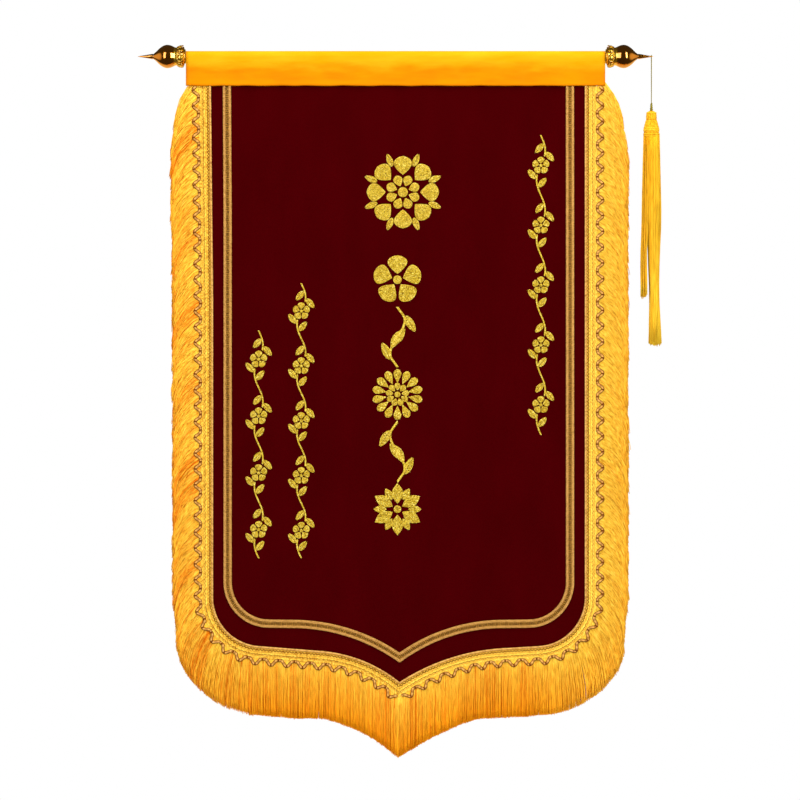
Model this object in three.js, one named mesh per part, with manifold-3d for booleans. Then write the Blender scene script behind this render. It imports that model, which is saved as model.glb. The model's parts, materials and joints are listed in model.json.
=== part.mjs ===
// An honor banner on its rod: a velvet shield edged with a bullion fringe, a braid border inside it,
// a satin sleeve over a round rod, a turned finial on each end of the rod, and one long tassel that
// hangs by a loop of cord from the right-hand finial.
//
// Millimetres, +Z up, +X to the viewer's right, and the face of the banner looks towards -Y.
// The origin is on the rod's axis, above the middle of the cloth.

import * as THREE from 'three';
import { mergeVertices } from 'three/addons/utils/BufferGeometryUtils.js';
import Module from 'manifold-3d';

const wasm = await Module();
wasm.setup();

// Driving dimensions
const GAP = 0.3;
const ROD_RADIUS = 6;
const ROD_SIDES = 24;
const SAME_PLACE = 1e-4;

const SLEEVE = { left: -274.6, right: 265.7, hem: -38.1, cloth: 1, overRod: 9 };

// The sleeve's cloth in section, from its turned hem in front up to the rod, and from the rod down
// behind. Each row is the middle of the cloth.
const SLEEVE_FRONT = [
  { y: -3.45, z: SLEEVE.hem, thick: 1.5 },
  { y: -3.6, z: -35.5, thick: 1.9 },
  { y: -3.2, z: -32.5, thick: SLEEVE.cloth },
  { y: -3.15, z: -22, thick: SLEEVE.cloth },
  { y: -4.3, z: -13.5, thick: SLEEVE.cloth },
  { y: -6.0, z: -6.5, thick: SLEEVE.cloth },
];
const SLEEVE_BACK = [
  { y: 5.8, z: -6.5, thick: SLEEVE.cloth },
  { y: 3.9, z: -13.5, thick: SLEEVE.cloth },
  { y: 1.6, z: -22, thick: SLEEVE.cloth },
  { y: 1.6, z: SLEEVE.hem, thick: SLEEVE.cloth },
];

// The line along which the fringe is sewn, a row for each half of the banner. Across is measured
// outwards from the origin, the corner values are the middle and the radius of its rounded corner,
// and slopes are degrees below level: on the hem beside the corner, and where it meets the point.
const FRINGE_LINE = {
  left: { side: -1, topAcross: 242.5, settles: -315, cornerAcross: 176.7, cornerZ: -697.5,
    cornerRadius: 63, hemSlope: 4.5, pointSlope: 39, pointX: 0.65, pointZ: -807 },
  right: { side: 1, topAcross: 239.5, settles: -315, cornerAcross: 176.5, cornerZ: -697.5,
    cornerRadius: 63, hemSlope: 3.5, pointSlope: 33, pointX: 0.65, pointZ: -807 },
};

// The middle of the border braid, laid out in the same way.
const BORDER_LINE = {
  left: { side: -1, topAcross: 222, settles: -200, cornerAcross: 167.5, cornerZ: -678,
    cornerRadius: 53.5, hemSlope: 0.6, pointSlope: 35, pointX: 0.65, pointZ: -775.5 },
  right: { side: 1, topAcross: 220.4, settles: -200, cornerAcross: 167, cornerZ: -678,
    cornerRadius: 53.5, hemSlope: 0.8, pointSlope: 36, pointX: 0.65, pointZ: -775.5 },
};

const SHORTEST_CURVE = 0.03;

const PANEL = { thick: 1.5, top: -24, underHeading: 15, rows: 5 };
const BORDER = { width: 10, thick: 1 };
const HEADING = { width: 17, thick: 0.95 };
const STATION = 22;
const WAVE = {
  pitch: 19.6, reach: 5.4, middle: 19.4, width: 3.2, thick: 1.6, steps: 4, fromPoint: 4, clear: 0.36,
};

// A fringe lock leaves its heading aslant and turns downwards. Slants are degrees off plumb.
const LOCK = {
  pitch: 11, length: 76, fill: 0.84, slant: 32, fade: 5, atRoot: 1.7, atTip: 0.2, root: 2.5,
};
const TOP_LOCKS = { reach: 34, length: 0.42, slant: 54 };
const LOCK_SECTIONS = [
  { along: 0.0, thick: 0.6, stagger: 0, fill: 1 },
  { along: 0.33, thick: 1.5, stagger: 0, fill: 1 },
  { along: 0.67, thick: 3.0, stagger: 0.4, fill: 1 },
  { along: 1.0, thick: 2.0, stagger: 0.7, fill: 0.75 },
];

// The cloth hangs almost flat: two shallow rolls that fade out towards the sleeve.
const ROLLS = [
  { depth: 2.2, length: 330, shift: 40 },
  { depth: 0.4, length: 210, shift: -90 },
];
const CLOTH_DROP = 866;

// A finial's outline, from the open end of its socket to the tip of its spike.
const FINIAL_OUTLINE = [
  { along: 0, radius: 11.2 },
  { along: 1.2, radius: 12.1 },
  { along: 4.4, radius: 12.2 },
  { along: 7.6, radius: 11.9 },
  { along: 10.2, radius: 11.6 },
  { along: 12.2, radius: 12 },
  { along: 15.2, radius: 13.4 },
  { along: 18.6, radius: 14.7 },
  { along: 22.4, radius: 15.1 },
  { along: 26, radius: 14.3 },
  { along: 29.2, radius: 12.8 },
  { along: 33, radius: 9.9 },
  { along: 36.4, radius: 6.4 },
  { along: 39.4, radius: 4.2 },
  { along: 42, radius: 3.4 },
  { along: 60.4, radius: 0.35 },
];
const FINIAL = {
  fromSleeve: 2, socket: 12, wall: 1, sides: 28, petals: 7, petalHeight: 2.4, petalFrom: 1, petalTo: 9,
};

// The tassel and the loop of cord that hangs on the right-hand spike: up from the tassel's knot,
// over the spike and down again.
const HANG_X = 325.6;
const LOOP = { cord: 0.55, turn: 2.4, turnPlaces: 7, top: 1.7, sides: 8, step: 2.4 };
const LOOP_ROUTE = [
  { y: -0.9, z: -60 },
  { y: -0.9, z: -52 },
  { y: -1.3, z: -40 },
  { y: -1.9, z: -26 },
  { y: -2.3, z: -12 },
  { y: -2.4, z: -4 },
];
const TASSEL_OUTLINE = [
  { z: -60.3, radius: 1.7 },
  { z: -61.5, radius: 2.3 },
  { z: -70.4, radius: 2.3 },
  { z: -71.6, radius: 4.6 },
  { z: -73, radius: 6.5 },
  { z: -80, radius: 7.1 },
  { z: -81.5, radius: 6.6 },
  { z: -83, radius: 7.5 },
  { z: -91.5, radius: 9.5 },
  { z: -94.5, radius: 10.2 },
  { z: -98.5, radius: 9.5 },
  { z: -103, radius: 10.9 },
];
const TASSEL_SIDES = 16;

// Rings of yarn locks under the tassel's head. Those far enough to the left end sooner.
const SKIRT_RINGS = [
  { locks: 12, ring: 8.6, size: 3.7, turn: 15 },
  { locks: 5, ring: 3.2, size: 2.9, turn: 36 },
];
const SKIRT = { root: -100, rootSize: 0.8, spread: 1.35, spreadBy: 0.5, curl: 3, sections: 5, partX: -4.2 };
const SKIRT_LOCK_SIDES = 4;
const LONG_LOCKS = { end: -368, drift: 1 };
const SHORT_LOCKS = { end: -308, drift: -2 };

// Colours and finishes
const finish = (color, roughness, metalness) => {
  return new THREE.MeshStandardMaterial({ color, roughness, metalness });
};
const VELVET = finish(0x4a0002, 0.95, 0);
const SATIN = finish(0xfcb40a, 0.5, 0);
const BRAID = finish(0xc08a3c, 0.45, 0.35);
const FRINGE_YARN = finish(0xf5ab35, 0.6, 0);
const WAVE_CORD = finish(0xb9813a, 0.45, 0.35);
const PLATED = finish(0xa8641a, 0.18, 1);
const WOOD = finish(0xc8a878, 0.7, 0);
const TASSEL_YARN = finish(0xf6c125, 0.55, 0);
const TWISTED_CORD = finish(0x9a8a20, 0.6, 0);

// Depths of the layers in front of the panel's middle
const ON_PANEL = -PANEL.thick / 2 - GAP;
const HEADING_MIDDLE = ON_PANEL - HEADING.thick / 2;
const ON_HEADING = ON_PANEL - HEADING.thick - WAVE.clear;

const range = (n) => Array.from({ length: n }, (_, i) => i);
const radians = THREE.MathUtils.degToRad;
const mix = THREE.MathUtils.lerp;

// How far the hanging cloth stands off its plane at a place.
function roll(x, z) {
  const fall = Math.max(0, SLEEVE.hem - z) / CLOTH_DROP;
  const wave = (row) => row.depth * Math.sin((2 * Math.PI * (x + row.shift)) / row.length);
  return fall * ROLLS.reduce((sum, row) => sum + wave(row), 0);
}

// Moves a flat geometry's points onto the hanging cloth.
function hang(geometry) {
  const places = geometry.getAttribute('position');
  for (const i of range(places.count)) {
    places.setY(i, places.getY(i) + roll(places.getX(i), places.getZ(i)));
  }
  return geometry;
}

function solidFrom(points, faces) {
  const corner = (i) => new THREE.Vector3().fromArray(points, faces[i] * 3);
  let volume = 0;
  for (let i = 0; i < faces.length; i += 3) volume += corner(i).dot(corner(i + 1).cross(corner(i + 2)));
  if (volume < 0) {
    for (let i = 0; i < faces.length; i += 3) [faces[i], faces[i + 1]] = [faces[i + 1], faces[i]];
  }
  const geometry = new THREE.BufferGeometry();
  geometry.setAttribute('position', new THREE.Float32BufferAttribute(points, 3));
  geometry.setIndex(faces);
  return geometry;
}

// A closed solid through rings of points that all have the same number of corners.
function loft(rings) {
  const corners = rings[0].length;
  const last = rings.length - 1;
  const points = rings.flat().flatMap((place) => [place.x, place.y, place.z]);
  const faces = [];
  for (const i of range(last)) {
    for (const j of range(corners)) {
      const a = i * corners + j;
      const b = i * corners + ((j + 1) % corners);
      faces.push(a, b, b + corners, a, b + corners, a + corners);
    }
  }
  for (let j = 1; j < corners - 1; j++) {
    faces.push(0, j + 1, j);
    faces.push(last * corners, last * corners + j, last * corners + j + 1);
  }
  return solidFrom(points, faces);
}

// Makes one corner of those that lie in one place, and drops faces that this leaves without area.
function sealed(geometry) {
  const bare = new THREE.BufferGeometry().setAttribute('position', geometry.getAttribute('position'));
  bare.setIndex(geometry.index);
  const merged = mergeVertices(bare, SAME_PLACE);
  const faces = [];
  for (let i = 0; i < merged.index.count; i += 3) {
    const [a, b, c] = [merged.index.getX(i), merged.index.getX(i + 1), merged.index.getX(i + 2)];
    if (a !== b && b !== c && c !== a) faces.push(a, b, c);
  }
  return solidFrom([...merged.getAttribute('position').array], faces);
}

// Joins overlapping closed geometries into one.
function joined(geometries) {
  const solids = geometries.map((geometry) => {
    const whole = sealed(geometry);
    return new wasm.Manifold(new wasm.Mesh({
      numProp: 3,
      vertProperties: new Float32Array(whole.getAttribute('position').array),
      triVerts: new Uint32Array(whole.index.array),
    }));
  });
  const mesh = solids.reduce((sum, solid) => sum.add(solid)).getMesh();
  const geometry = new THREE.BufferGeometry();
  geometry.setAttribute('position', new THREE.BufferAttribute(new Float32Array(mesh.vertProperties), 3));
  geometry.setIndex(new THREE.BufferAttribute(new Uint32Array(mesh.triVerts), 1));
  return geometry;
}

// The line of a trim and lines beside it: down the side, round the corner, along the hem and over
// an arc to the point. The hem's run and the arc's radius follow from where the two ends lie.
function trimLine(row, outwards) {
  const hem = radians(row.hemSlope);
  const point = radians(row.pointSlope);
  const pointAcross = row.side * row.pointX;
  const cornerEnd = {
    across: row.cornerAcross + row.cornerRadius * Math.sin(hem),
    z: row.cornerZ - row.cornerRadius * Math.cos(hem),
  };
  const inwards = cornerEnd.across - pointAcross;
  const down = cornerEnd.z - row.pointZ;
  const turn = 1 - Math.cos(point - hem);
  const run = (inwards * (Math.cos(hem) - Math.cos(point)) - down * (Math.sin(point) - Math.sin(hem))) / turn;
  const radius = (down * Math.cos(hem) - inwards * Math.sin(hem)) / turn;
  const arcAcross = cornerEnd.across - run * Math.cos(hem) + radius * Math.sin(hem);
  const arcZ = cornerEnd.z - run * Math.sin(hem) - radius * Math.cos(hem);
  const arcRadius = radius - outwards;

  const line = new THREE.Path();
  line.moveTo(row.topAcross + outwards, SLEEVE.hem - GAP);
  line.lineTo(row.cornerAcross + row.cornerRadius + outwards, row.settles);
  line.lineTo(row.cornerAcross + row.cornerRadius + outwards, row.cornerZ);
  line.absarc(row.cornerAcross, row.cornerZ, row.cornerRadius + outwards, 0, hem - Math.PI / 2, true);
  line.lineTo(arcAcross - arcRadius * Math.sin(hem), arcZ + arcRadius * Math.cos(hem));
  const last = Math.acos((pointAcross - arcAcross) / arcRadius);
  line.absarc(arcAcross, arcZ, arcRadius, Math.PI / 2 + hem, last, false);
  line.curves = line.curves.filter((curve) => curve.getLength() > SHORTEST_CURVE);
  return line;
}

// Places along a trim line, at the same stations whatever the line's distance outwards.
function stations(row, outwards) {
  const counts = trimLine(row, 0).curves.map((curve) => Math.ceil(curve.getLength() / STATION));
  const curves = trimLine(row, outwards).curves;
  const places = [];
  counts.forEach((count, c) => {
    for (const i of range(count + 1)) {
      const isRepeat = c > 0 && i === 0;
      if (isRepeat) continue;
      const place = curves[c].getPoint(i / count);
      places.push({ x: row.side * place.x, z: place.y });
    }
  });
  return places;
}

// A flat ribbon between two rows of stations.
function ribbon(inner, outer, back, thick) {
  return loft(inner.map((a, i) => [
    { x: a.x, y: back, z: a.z },
    { x: outer[i].x, y: back, z: outer[i].z },
    { x: outer[i].x, y: back - thick, z: outer[i].z },
    { x: a.x, y: back - thick, z: a.z },
  ]));
}

// Both halves of a line in one row, from the top left round to the top right.
function wholeLine(lines, outwards) {
  return [...stations(lines.left, outwards), ...stations(lines.right, outwards).reverse().slice(1)];
}

// The panel: columns of cloth from under the sleeve down to its edge.
function panelSolid() {
  const edge = wholeLine(FRINGE_LINE, PANEL.underHeading);
  const first = edge.findIndex((place) => place.z < FRINGE_LINE.left.cornerZ + GAP);
  const bottoms = edge.slice(first, edge.length - first);
  const stretch = (x) => {
    const row = x < 0 ? FRINGE_LINE.left : FRINGE_LINE.right;
    return (row.topAcross + PANEL.underHeading) / (row.cornerAcross + row.cornerRadius + PANEL.underHeading);
  };
  const points = [];
  const faces = [];
  const rows = PANEL.rows + 2;
  bottoms.forEach((bottom) => {
    for (const k of range(rows)) {
      const down = k === 0 ? 0 : (k - 1) / PANEL.rows;
      const z = k === 0 ? PANEL.top : mix(SLEEVE.hem, bottom.z, down);
      const x = bottom.x * mix(stretch(bottom.x), 1, down);
      points.push(x, PANEL.thick / 2, z, x, -PANEL.thick / 2, z);
    }
  });
  const at = (column, k, face) => 2 * (column * rows + k) + face;
  const quad = (a, b, c, d) => faces.push(a, b, c, a, c, d);
  const columns = bottoms.length - 1;
  for (const i of range(columns)) {
    for (const k of range(rows - 1)) {
      quad(at(i, k, 1), at(i, k + 1, 1), at(i + 1, k + 1, 1), at(i + 1, k, 1));
      quad(at(i, k, 0), at(i + 1, k, 0), at(i + 1, k + 1, 0), at(i, k + 1, 0));
    }
    quad(at(i, 0, 0), at(i, 0, 1), at(i + 1, 0, 1), at(i + 1, 0, 0));
    quad(at(i, rows - 1, 1), at(i, rows - 1, 0), at(i + 1, rows - 1, 0), at(i + 1, rows - 1, 1));
  }
  for (const k of range(rows - 1)) {
    quad(at(0, k, 1), at(0, k, 0), at(0, k + 1, 0), at(0, k + 1, 1));
    quad(at(columns, k, 0), at(columns, k, 1), at(columns, k + 1, 1), at(columns, k + 1, 0));
  }
  return hang(solidFrom(points, faces));
}

// The sleeve: one cloth that goes up in front, over the rod and down behind.
function sleeveSolid() {
  const overRod = range(SLEEVE.overRod).map((i) => {
    const angle = Math.PI * (1 - (i + 0.5) / SLEEVE.overRod);
    const radius = (ROD_RADIUS + GAP + SLEEVE.cloth / 2) / Math.cos(Math.PI / SLEEVE.overRod / 2);
    return { y: radius * Math.cos(angle), z: radius * Math.sin(angle), thick: SLEEVE.cloth };
  });
  const rows = [...SLEEVE_FRONT, ...overRod, ...SLEEVE_BACK];
  const side = (direction) => rows.map((row, i) => {
    const before = rows[Math.max(0, i - 1)];
    const after = rows[Math.min(rows.length - 1, i + 1)];
    const along = new THREE.Vector2(after.y - before.y, after.z - before.z).normalize();
    const off = (direction * row.thick) / 2;
    return new THREE.Vector2(row.y - along.y * off, row.z + along.x * off);
  });
  const section = new THREE.Shape([...side(1), ...side(-1).reverse()]);
  const geometry = new THREE.ExtrudeGeometry(section, {
    depth: SLEEVE.right - SLEEVE.left,
    bevelEnabled: false,
  });
  const turned = new THREE.Matrix4().makeBasis(
    new THREE.Vector3(0, 1, 0),
    new THREE.Vector3(0, 0, 1),
    new THREE.Vector3(1, 0, 0),
  );
  geometry.applyMatrix4(turned);
  geometry.translate(SLEEVE.left, 0, 0);
  return geometry;
}

// The middles of a half's fringe locks, each a short row of places with their direction.
function lockMiddles(row) {
  const rootLine = trimLine(row, HEADING.width - LOCK.root);
  const length = rootLine.getLength();
  const count = Math.round(length / LOCK.pitch);
  return range(count).map((i) => {
    const along = (i + 0.5) / count;
    const root = rootLine.getPointAt(along);
    const tangent = rootLine.getTangentAt(along);
    const outwards = Math.max(0, -tangent.y);
    const fromTop = Math.min(1, (along * length) / TOP_LOCKS.reach);
    const slant = radians(mix(TOP_LOCKS.slant, LOCK.slant, fromTop)) * outwards ** LOCK.fade;
    const reach = LOCK.length * mix(TOP_LOCKS.length, 1, fromTop);
    const place = { across: root.x, z: root.y };
    let before = 0;
    return LOCK_SECTIONS.map((section) => {
      const step = (section.along - before) * reach;
      const turned = (section.along + before) / 2;
      const angle = slant * mix(LOCK.atRoot, LOCK.atTip, turned);
      before = section.along;
      place.across += step * Math.sin(angle);
      place.z -= step * Math.cos(angle);
      const facing = slant * mix(LOCK.atRoot, LOCK.atTip, section.along);
      return { across: place.across, z: place.z, facing };
    });
  });
}

// How far apart two neighbouring locks run at one of their sections.
function spacing(a, b) {
  return Math.abs((b.across - a.across) * Math.cos(a.facing) + (b.z - a.z) * Math.sin(a.facing));
}

function fringeSolid(row) {
  const heading = ribbon(stations(row, 0), stations(row, HEADING.width), ON_PANEL, HEADING.thick);
  const clear = row.side * GAP / 2;
  const places = heading.getAttribute('position');
  for (const i of range(places.count)) {
    const atPoint = Math.abs(places.getX(i) - row.pointX) < SAME_PLACE;
    if (atPoint) places.setX(i, row.pointX + clear);
  }
  const middles = lockMiddles(row);
  const locks = middles.map((middle, i) => {
    const beside = middles[i + 1] ?? middles[i - 1];
    return loft(LOCK_SECTIONS.map((section, s) => {
      const { across, z, facing } = middle[s];
      const half = (spacing(middle[s], beside[s]) * LOCK.fill * section.fill) / 2;
      const depth = HEADING_MIDDLE + section.stagger * (i % 2 === 0 ? 1 : -1) + section.stagger;
      const corner = (off, back) => ({
        x: row.side * (across + off * Math.cos(facing)),
        y: depth + back,
        z: z + off * Math.sin(facing),
      });
      const deep = section.thick / 2;
      return [corner(-half, deep), corner(0, -deep), corner(half, deep)];
    }));
  });
  return joined([heading, ...locks].map(hang));
}

// The cord that is sewn in waves over the roots of the fringe.
function waveSolid(row) {
  const line = trimLine(row, WAVE.middle);
  const length = line.getLength() - WAVE.fromPoint;
  const steps = Math.round(length / WAVE.pitch) * WAVE.steps;
  const middle = range(steps).map((i) => {
    const along = ((i + 0.5) / steps) * (length / (length + WAVE.fromPoint));
    const place = line.getPointAt(along);
    const tangent = line.getTangentAt(along);
    const reach = WAVE.reach * Math.sin(((i + 0.5) / WAVE.steps) * 2 * Math.PI);
    return new THREE.Vector2(place.x - tangent.y * reach, place.y + tangent.x * reach);
  });
  return hang(loft(middle.map((place, i) => {
    const before = middle[Math.max(0, i - 1)];
    const after = middle[Math.min(middle.length - 1, i + 1)];
    const across = after.clone().sub(before).normalize().rotateAround(new THREE.Vector2(), Math.PI / 2);
    const off = across.multiplyScalar(WAVE.width / 2);
    const corner = (way, y) => ({ x: row.side * (place.x + way * off.x), y, z: place.y + way * off.y });
    return [corner(-1, ON_HEADING), corner(0, ON_HEADING - WAVE.thick), corner(1, ON_HEADING)];
  })));
}

function finialSolid(side) {
  const foot = side < 0 ? SLEEVE.left - FINIAL.fromSleeve : SLEEVE.right + FINIAL.fromSleeve;
  const bore = ROD_RADIUS + GAP;
  const profile = [
    new THREE.Vector2(0, FINIAL.socket),
    new THREE.Vector2(bore, FINIAL.socket),
    new THREE.Vector2(bore, 0),
    ...FINIAL_OUTLINE.map((row) => new THREE.Vector2(row.radius, row.along)),
    new THREE.Vector2(0, FINIAL_OUTLINE.at(-1).along + FINIAL_OUTLINE.at(-1).radius),
  ];
  const geometry = new THREE.LatheGeometry(profile, FINIAL.sides);
  const places = geometry.getAttribute('position');
  for (const i of range(places.count)) {
    const across = Math.hypot(places.getX(i), places.getZ(i));
    const along = places.getY(i);
    const isOutside = across > bore + FINIAL.wall;
    const isPetal = isOutside && along > FINIAL.petalFrom && along < FINIAL.petalTo;
    const angle = Math.atan2(places.getX(i), places.getZ(i));
    const raised = isPetal ? (FINIAL.petalHeight * (1 + Math.cos(FINIAL.petals * angle))) / 2 : 0;
    const scale = (across + raised) / (across || 1);
    places.setXYZ(i, foot + side * along, places.getX(i) * scale, places.getZ(i) * scale);
  }
  return sealed(geometry);
}

// A lathed solid that stands upright at the tassel's place, from an outline of heights and radii.
function uprightSolid(outline, sides) {
  const first = outline[0];
  const last = outline.at(-1);
  const profile = [
    new THREE.Vector2(0, last.z),
    ...outline.map((row) => new THREE.Vector2(row.radius, row.z)).reverse(),
    new THREE.Vector2(0, first.z),
  ];
  const geometry = new THREE.LatheGeometry(profile, sides);
  geometry.rotateX(Math.PI / 2);
  geometry.translate(HANG_X, 0, 0);
  return sealed(geometry);
}

function tasselSolid() {
  const head = uprightSolid(TASSEL_OUTLINE, TASSEL_SIDES);
  const locks = SKIRT_RINGS.flatMap((ring) => range(ring.locks).map((i) => {
    const angle = radians(ring.turn + (360 * i) / ring.locks);
    const isShort = ring.ring * Math.cos(angle) < SKIRT.partX;
    const tail = isShort ? SHORT_LOCKS : LONG_LOCKS;
    return loft(range(SKIRT.sections).map((s) => {
      const down = s / (SKIRT.sections - 1);
      const out = ring.ring * mix(1, SKIRT.spread, Math.min(1, down / SKIRT.spreadBy));
      const half = (ring.size / Math.SQRT2) * (s === 0 ? SKIRT.rootSize : 1);
      return range(SKIRT_LOCK_SIDES).map((c) => {
        const turn = angle + (2 * Math.PI * c) / SKIRT_LOCK_SIDES;
        return {
          x: HANG_X + out * Math.cos(angle) + half * Math.cos(turn) + tail.drift * down ** SKIRT.curl,
          y: out * Math.sin(angle) + half * Math.sin(turn),
          z: mix(SKIRT.root, tail.end, down),
        };
      });
    }));
  }));
  return joined([head, ...locks]);
}

function cordSolid() {
  const turn = range(LOOP.turnPlaces).map((i) => {
    const angle = Math.PI * (1 - (i + 0.5) / LOOP.turnPlaces);
    return { y: LOOP.turn * Math.cos(angle), z: LOOP.top - LOOP.turn + LOOP.turn * Math.sin(angle) };
  });
  const down = LOOP_ROUTE.map((place) => ({ y: -place.y, z: place.z })).reverse();
  const places = [...LOOP_ROUTE, ...turn, ...down].map((row) => new THREE.Vector3(HANG_X, row.y, row.z));
  const route = new THREE.CatmullRomCurve3(places);
  const section = new THREE.Shape(range(LOOP.sides).map((i) => {
    const angle = (2 * Math.PI * i) / LOOP.sides;
    return new THREE.Vector2(LOOP.cord * Math.cos(angle), LOOP.cord * Math.sin(angle));
  }));
  return new THREE.ExtrudeGeometry(section, {
    steps: Math.round(route.getLength() / LOOP.step),
    extrudePath: route,
    bevelEnabled: false,
  });
}

function rodSolid() {
  const reach = FINIAL.fromSleeve + FINIAL.socket - GAP;
  const length = SLEEVE.right - SLEEVE.left + 2 * reach;
  const rod = new THREE.CylinderGeometry(ROD_RADIUS, ROD_RADIUS, length, ROD_SIDES);
  rod.rotateZ(Math.PI / 2);
  rod.translate((SLEEVE.left + SLEEVE.right) / 2, 0, 0);
  return rod;
}

function braidSolid() {
  const inner = wholeLine(BORDER_LINE, -BORDER.width / 2);
  const outer = wholeLine(BORDER_LINE, BORDER.width / 2);
  return hang(ribbon(inner, outer, ON_PANEL, BORDER.thick));
}

const banner = new THREE.Group();
function add(name, geometry, material) {
  const mesh = new THREE.Mesh(geometry, material);
  mesh.name = name;
  banner.add(mesh);
}

add('rod', rodSolid(), WOOD);
add('finial_left', finialSolid(-1), PLATED);
add('finial_right', finialSolid(1), PLATED);
add('sleeve', sleeveSolid(), SATIN);
add('panel', panelSolid(), VELVET);
add('inner_braid', braidSolid(), BRAID);
add('fringe_left', fringeSolid(FRINGE_LINE.left), FRINGE_YARN);
add('fringe_right', fringeSolid(FRINGE_LINE.right), FRINGE_YARN);
add('wave_left', waveSolid(FRINGE_LINE.left), WAVE_CORD);
add('wave_right', waveSolid(FRINGE_LINE.right), WAVE_CORD);
add('tassel', tasselSolid(), TASSEL_YARN);
add('tassel_cord', cordSolid(), TWISTED_CORD);

export default banner;
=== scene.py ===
# The looks of a velvet honor banner: bullion fringe on a woven heading, a plaited border, gold
# embroidery, a satin sleeve on a round rod, plated finials and one long tassel.
# Sizes below are in millimetres, in the frame of the CAD model, and become metres in MM.

import json
from collections import namedtuple

import bpy
import numpy as np
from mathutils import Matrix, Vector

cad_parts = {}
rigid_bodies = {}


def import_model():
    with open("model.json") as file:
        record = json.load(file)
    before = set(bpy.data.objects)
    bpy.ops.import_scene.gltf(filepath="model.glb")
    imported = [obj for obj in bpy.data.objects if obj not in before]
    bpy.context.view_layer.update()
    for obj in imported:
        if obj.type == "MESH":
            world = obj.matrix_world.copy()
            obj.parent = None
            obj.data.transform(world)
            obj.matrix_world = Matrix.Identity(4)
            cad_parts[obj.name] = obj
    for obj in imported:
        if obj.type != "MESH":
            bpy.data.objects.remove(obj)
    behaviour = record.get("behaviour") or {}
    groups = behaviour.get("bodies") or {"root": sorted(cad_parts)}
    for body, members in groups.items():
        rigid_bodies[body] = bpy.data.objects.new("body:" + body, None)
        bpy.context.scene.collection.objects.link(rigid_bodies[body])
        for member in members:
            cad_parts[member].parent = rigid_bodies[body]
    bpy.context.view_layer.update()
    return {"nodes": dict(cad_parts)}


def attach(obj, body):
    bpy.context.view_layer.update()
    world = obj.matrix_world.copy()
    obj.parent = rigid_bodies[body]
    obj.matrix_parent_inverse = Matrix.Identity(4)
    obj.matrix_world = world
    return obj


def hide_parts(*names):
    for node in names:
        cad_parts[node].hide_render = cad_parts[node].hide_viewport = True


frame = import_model()

MM = 0.001
SEED = 20

# The rod, the sleeve and the cloth
ROD_RADIUS = 6
SLEEVE = {"left": -274.8, "right": 265.9, "hem": -38.1, "cloth": 0.7, "column": 5, "rows": 64}
PANEL = {"thick": 1.5, "top": -24, "under_heading": 15, "rows": 64}
# The sleeve's section as y and z: the hem turned up inside with its fold, the front and the back
SLEEVE_TURNED = [(-2.55, -31.5), (-2.6, -34.5), (-2.7, -36.9), (-2.85, -37.55), (-3.3, -37.75),
                 (-3.72, -37.5)]
SLEEVE_FRONT = [(-3.85, -36.8), (-3.8, -34), (-3.5, -31.8), (-3.3, -28), (-3.4, -22), (-4.3, -13.5),
                (-6, -6.5)]
SLEEVE_BACK = [(5.8, -6.5), (3.9, -13.5), (1.7, -22), (1.55, -30), (1.6, -37.7)]
SLEEVE_WAVES = {"count": 9, "sizes": (18, 90), "lean": 0.5, "depth": 0.25, "lift": 0.1}
FRONT = -PANEL["thick"] / 2
ON_PANEL = FRONT - 0.3
ON_HEADING = ON_PANEL - 1.25
CLOTH_DROP = 866
ROLLS = [
    {"depth": 2.2, "length": 330, "shift": 40},
    {"depth": 0.4, "length": 210, "shift": -90},
]

# The line along which the fringe is sewn, and the middle of the border braid, a row for each half.
FRINGE_LINE = {
    "left": {"side": -1, "top": 242.5, "settles": -315, "corner": 176.7, "corner_z": -697.5, "radius": 63,
             "hem_slope": 4.5, "point_slope": 39, "point_x": 0.65, "point_z": -807, "side_length": 0.91},
    "right": {"side": 1, "top": 239.5, "settles": -315, "corner": 176.5, "corner_z": -697.5, "radius": 63,
              "hem_slope": 3.5, "point_slope": 33, "point_x": 0.65, "point_z": -807, "side_length": 1.0},
}
BORDER_LINE = {
    "left": {"side": -1, "top": 222, "settles": -200, "corner": 167.5, "corner_z": -678, "radius": 53.5,
             "hem_slope": 0.6, "point_slope": 35, "point_x": 0.65, "point_z": -775.5},
    "right": {"side": 1, "top": 220.4, "settles": -200, "corner": 167, "corner_z": -678, "radius": 53.5,
              "hem_slope": 0.8, "point_slope": 36, "point_x": 0.65, "point_z": -775.5},
}

# The fringe and its heading
HEADING = {"from": 3.1, "to": 17, "lanes": 3, "stitch": 1.3, "lift": 0.45, "rise": 0.28,
           "tones": (-0.4, 0.45), "strip": 0.5}
EDGE_CORD = {"at": 1.2, "radius": 0.95, "twist": 2.1}
CHAINS = [
    {"at": 4.7, "reach": 0.85, "pitch": 4.2, "radius": 0.56},
    {"at": 10.4, "reach": 0.45, "pitch": 5.2, "radius": 0.3},
]
# The wave cord's outline is a painted shadow: a dark thread beside each side of the cord.
WAVE = {"pitch": 20.4, "reach": 3.75, "middle": 19.0, "radius": 0.62, "outline": 0.46, "steps": 13,
        "tie": 2.1, "tie_width": 1.8, "clear": 2.4, "lift": 0.75, "painted_shadow_lift": 0.35, "ply": 2.6}
STRAND = {"slant": 32, "fade": 2, "at_root": 1.95, "at_tip": 0.05, "root": 16.5,
          "settles": 60, "settled": 0.84}
CRIMP = {"side": 0.55, "hem": 0.3, "length": 15}
# How long the fringe is, by the distance from the middle of the banner
STRAND_LENGTHS = [
    (0, 75.5), (8, 77.4), (16, 77.4), (35, 76), (70, 74.2), (98, 70.4), (130, 73), (200, 73), (250, 76),
]
TOP_STRANDS = {"z": -24, "reach": 46, "length": {-1: 0.87, 1: 0.96}, "slant": 25}
BUNDLE = {"least": 5, "most": 12, "pull": 0.08, "hem_pull": 0.03, "slant": 1.1, "depth": 0.5, "length": 0.5,
          "corner_length": 1.2}
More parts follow.
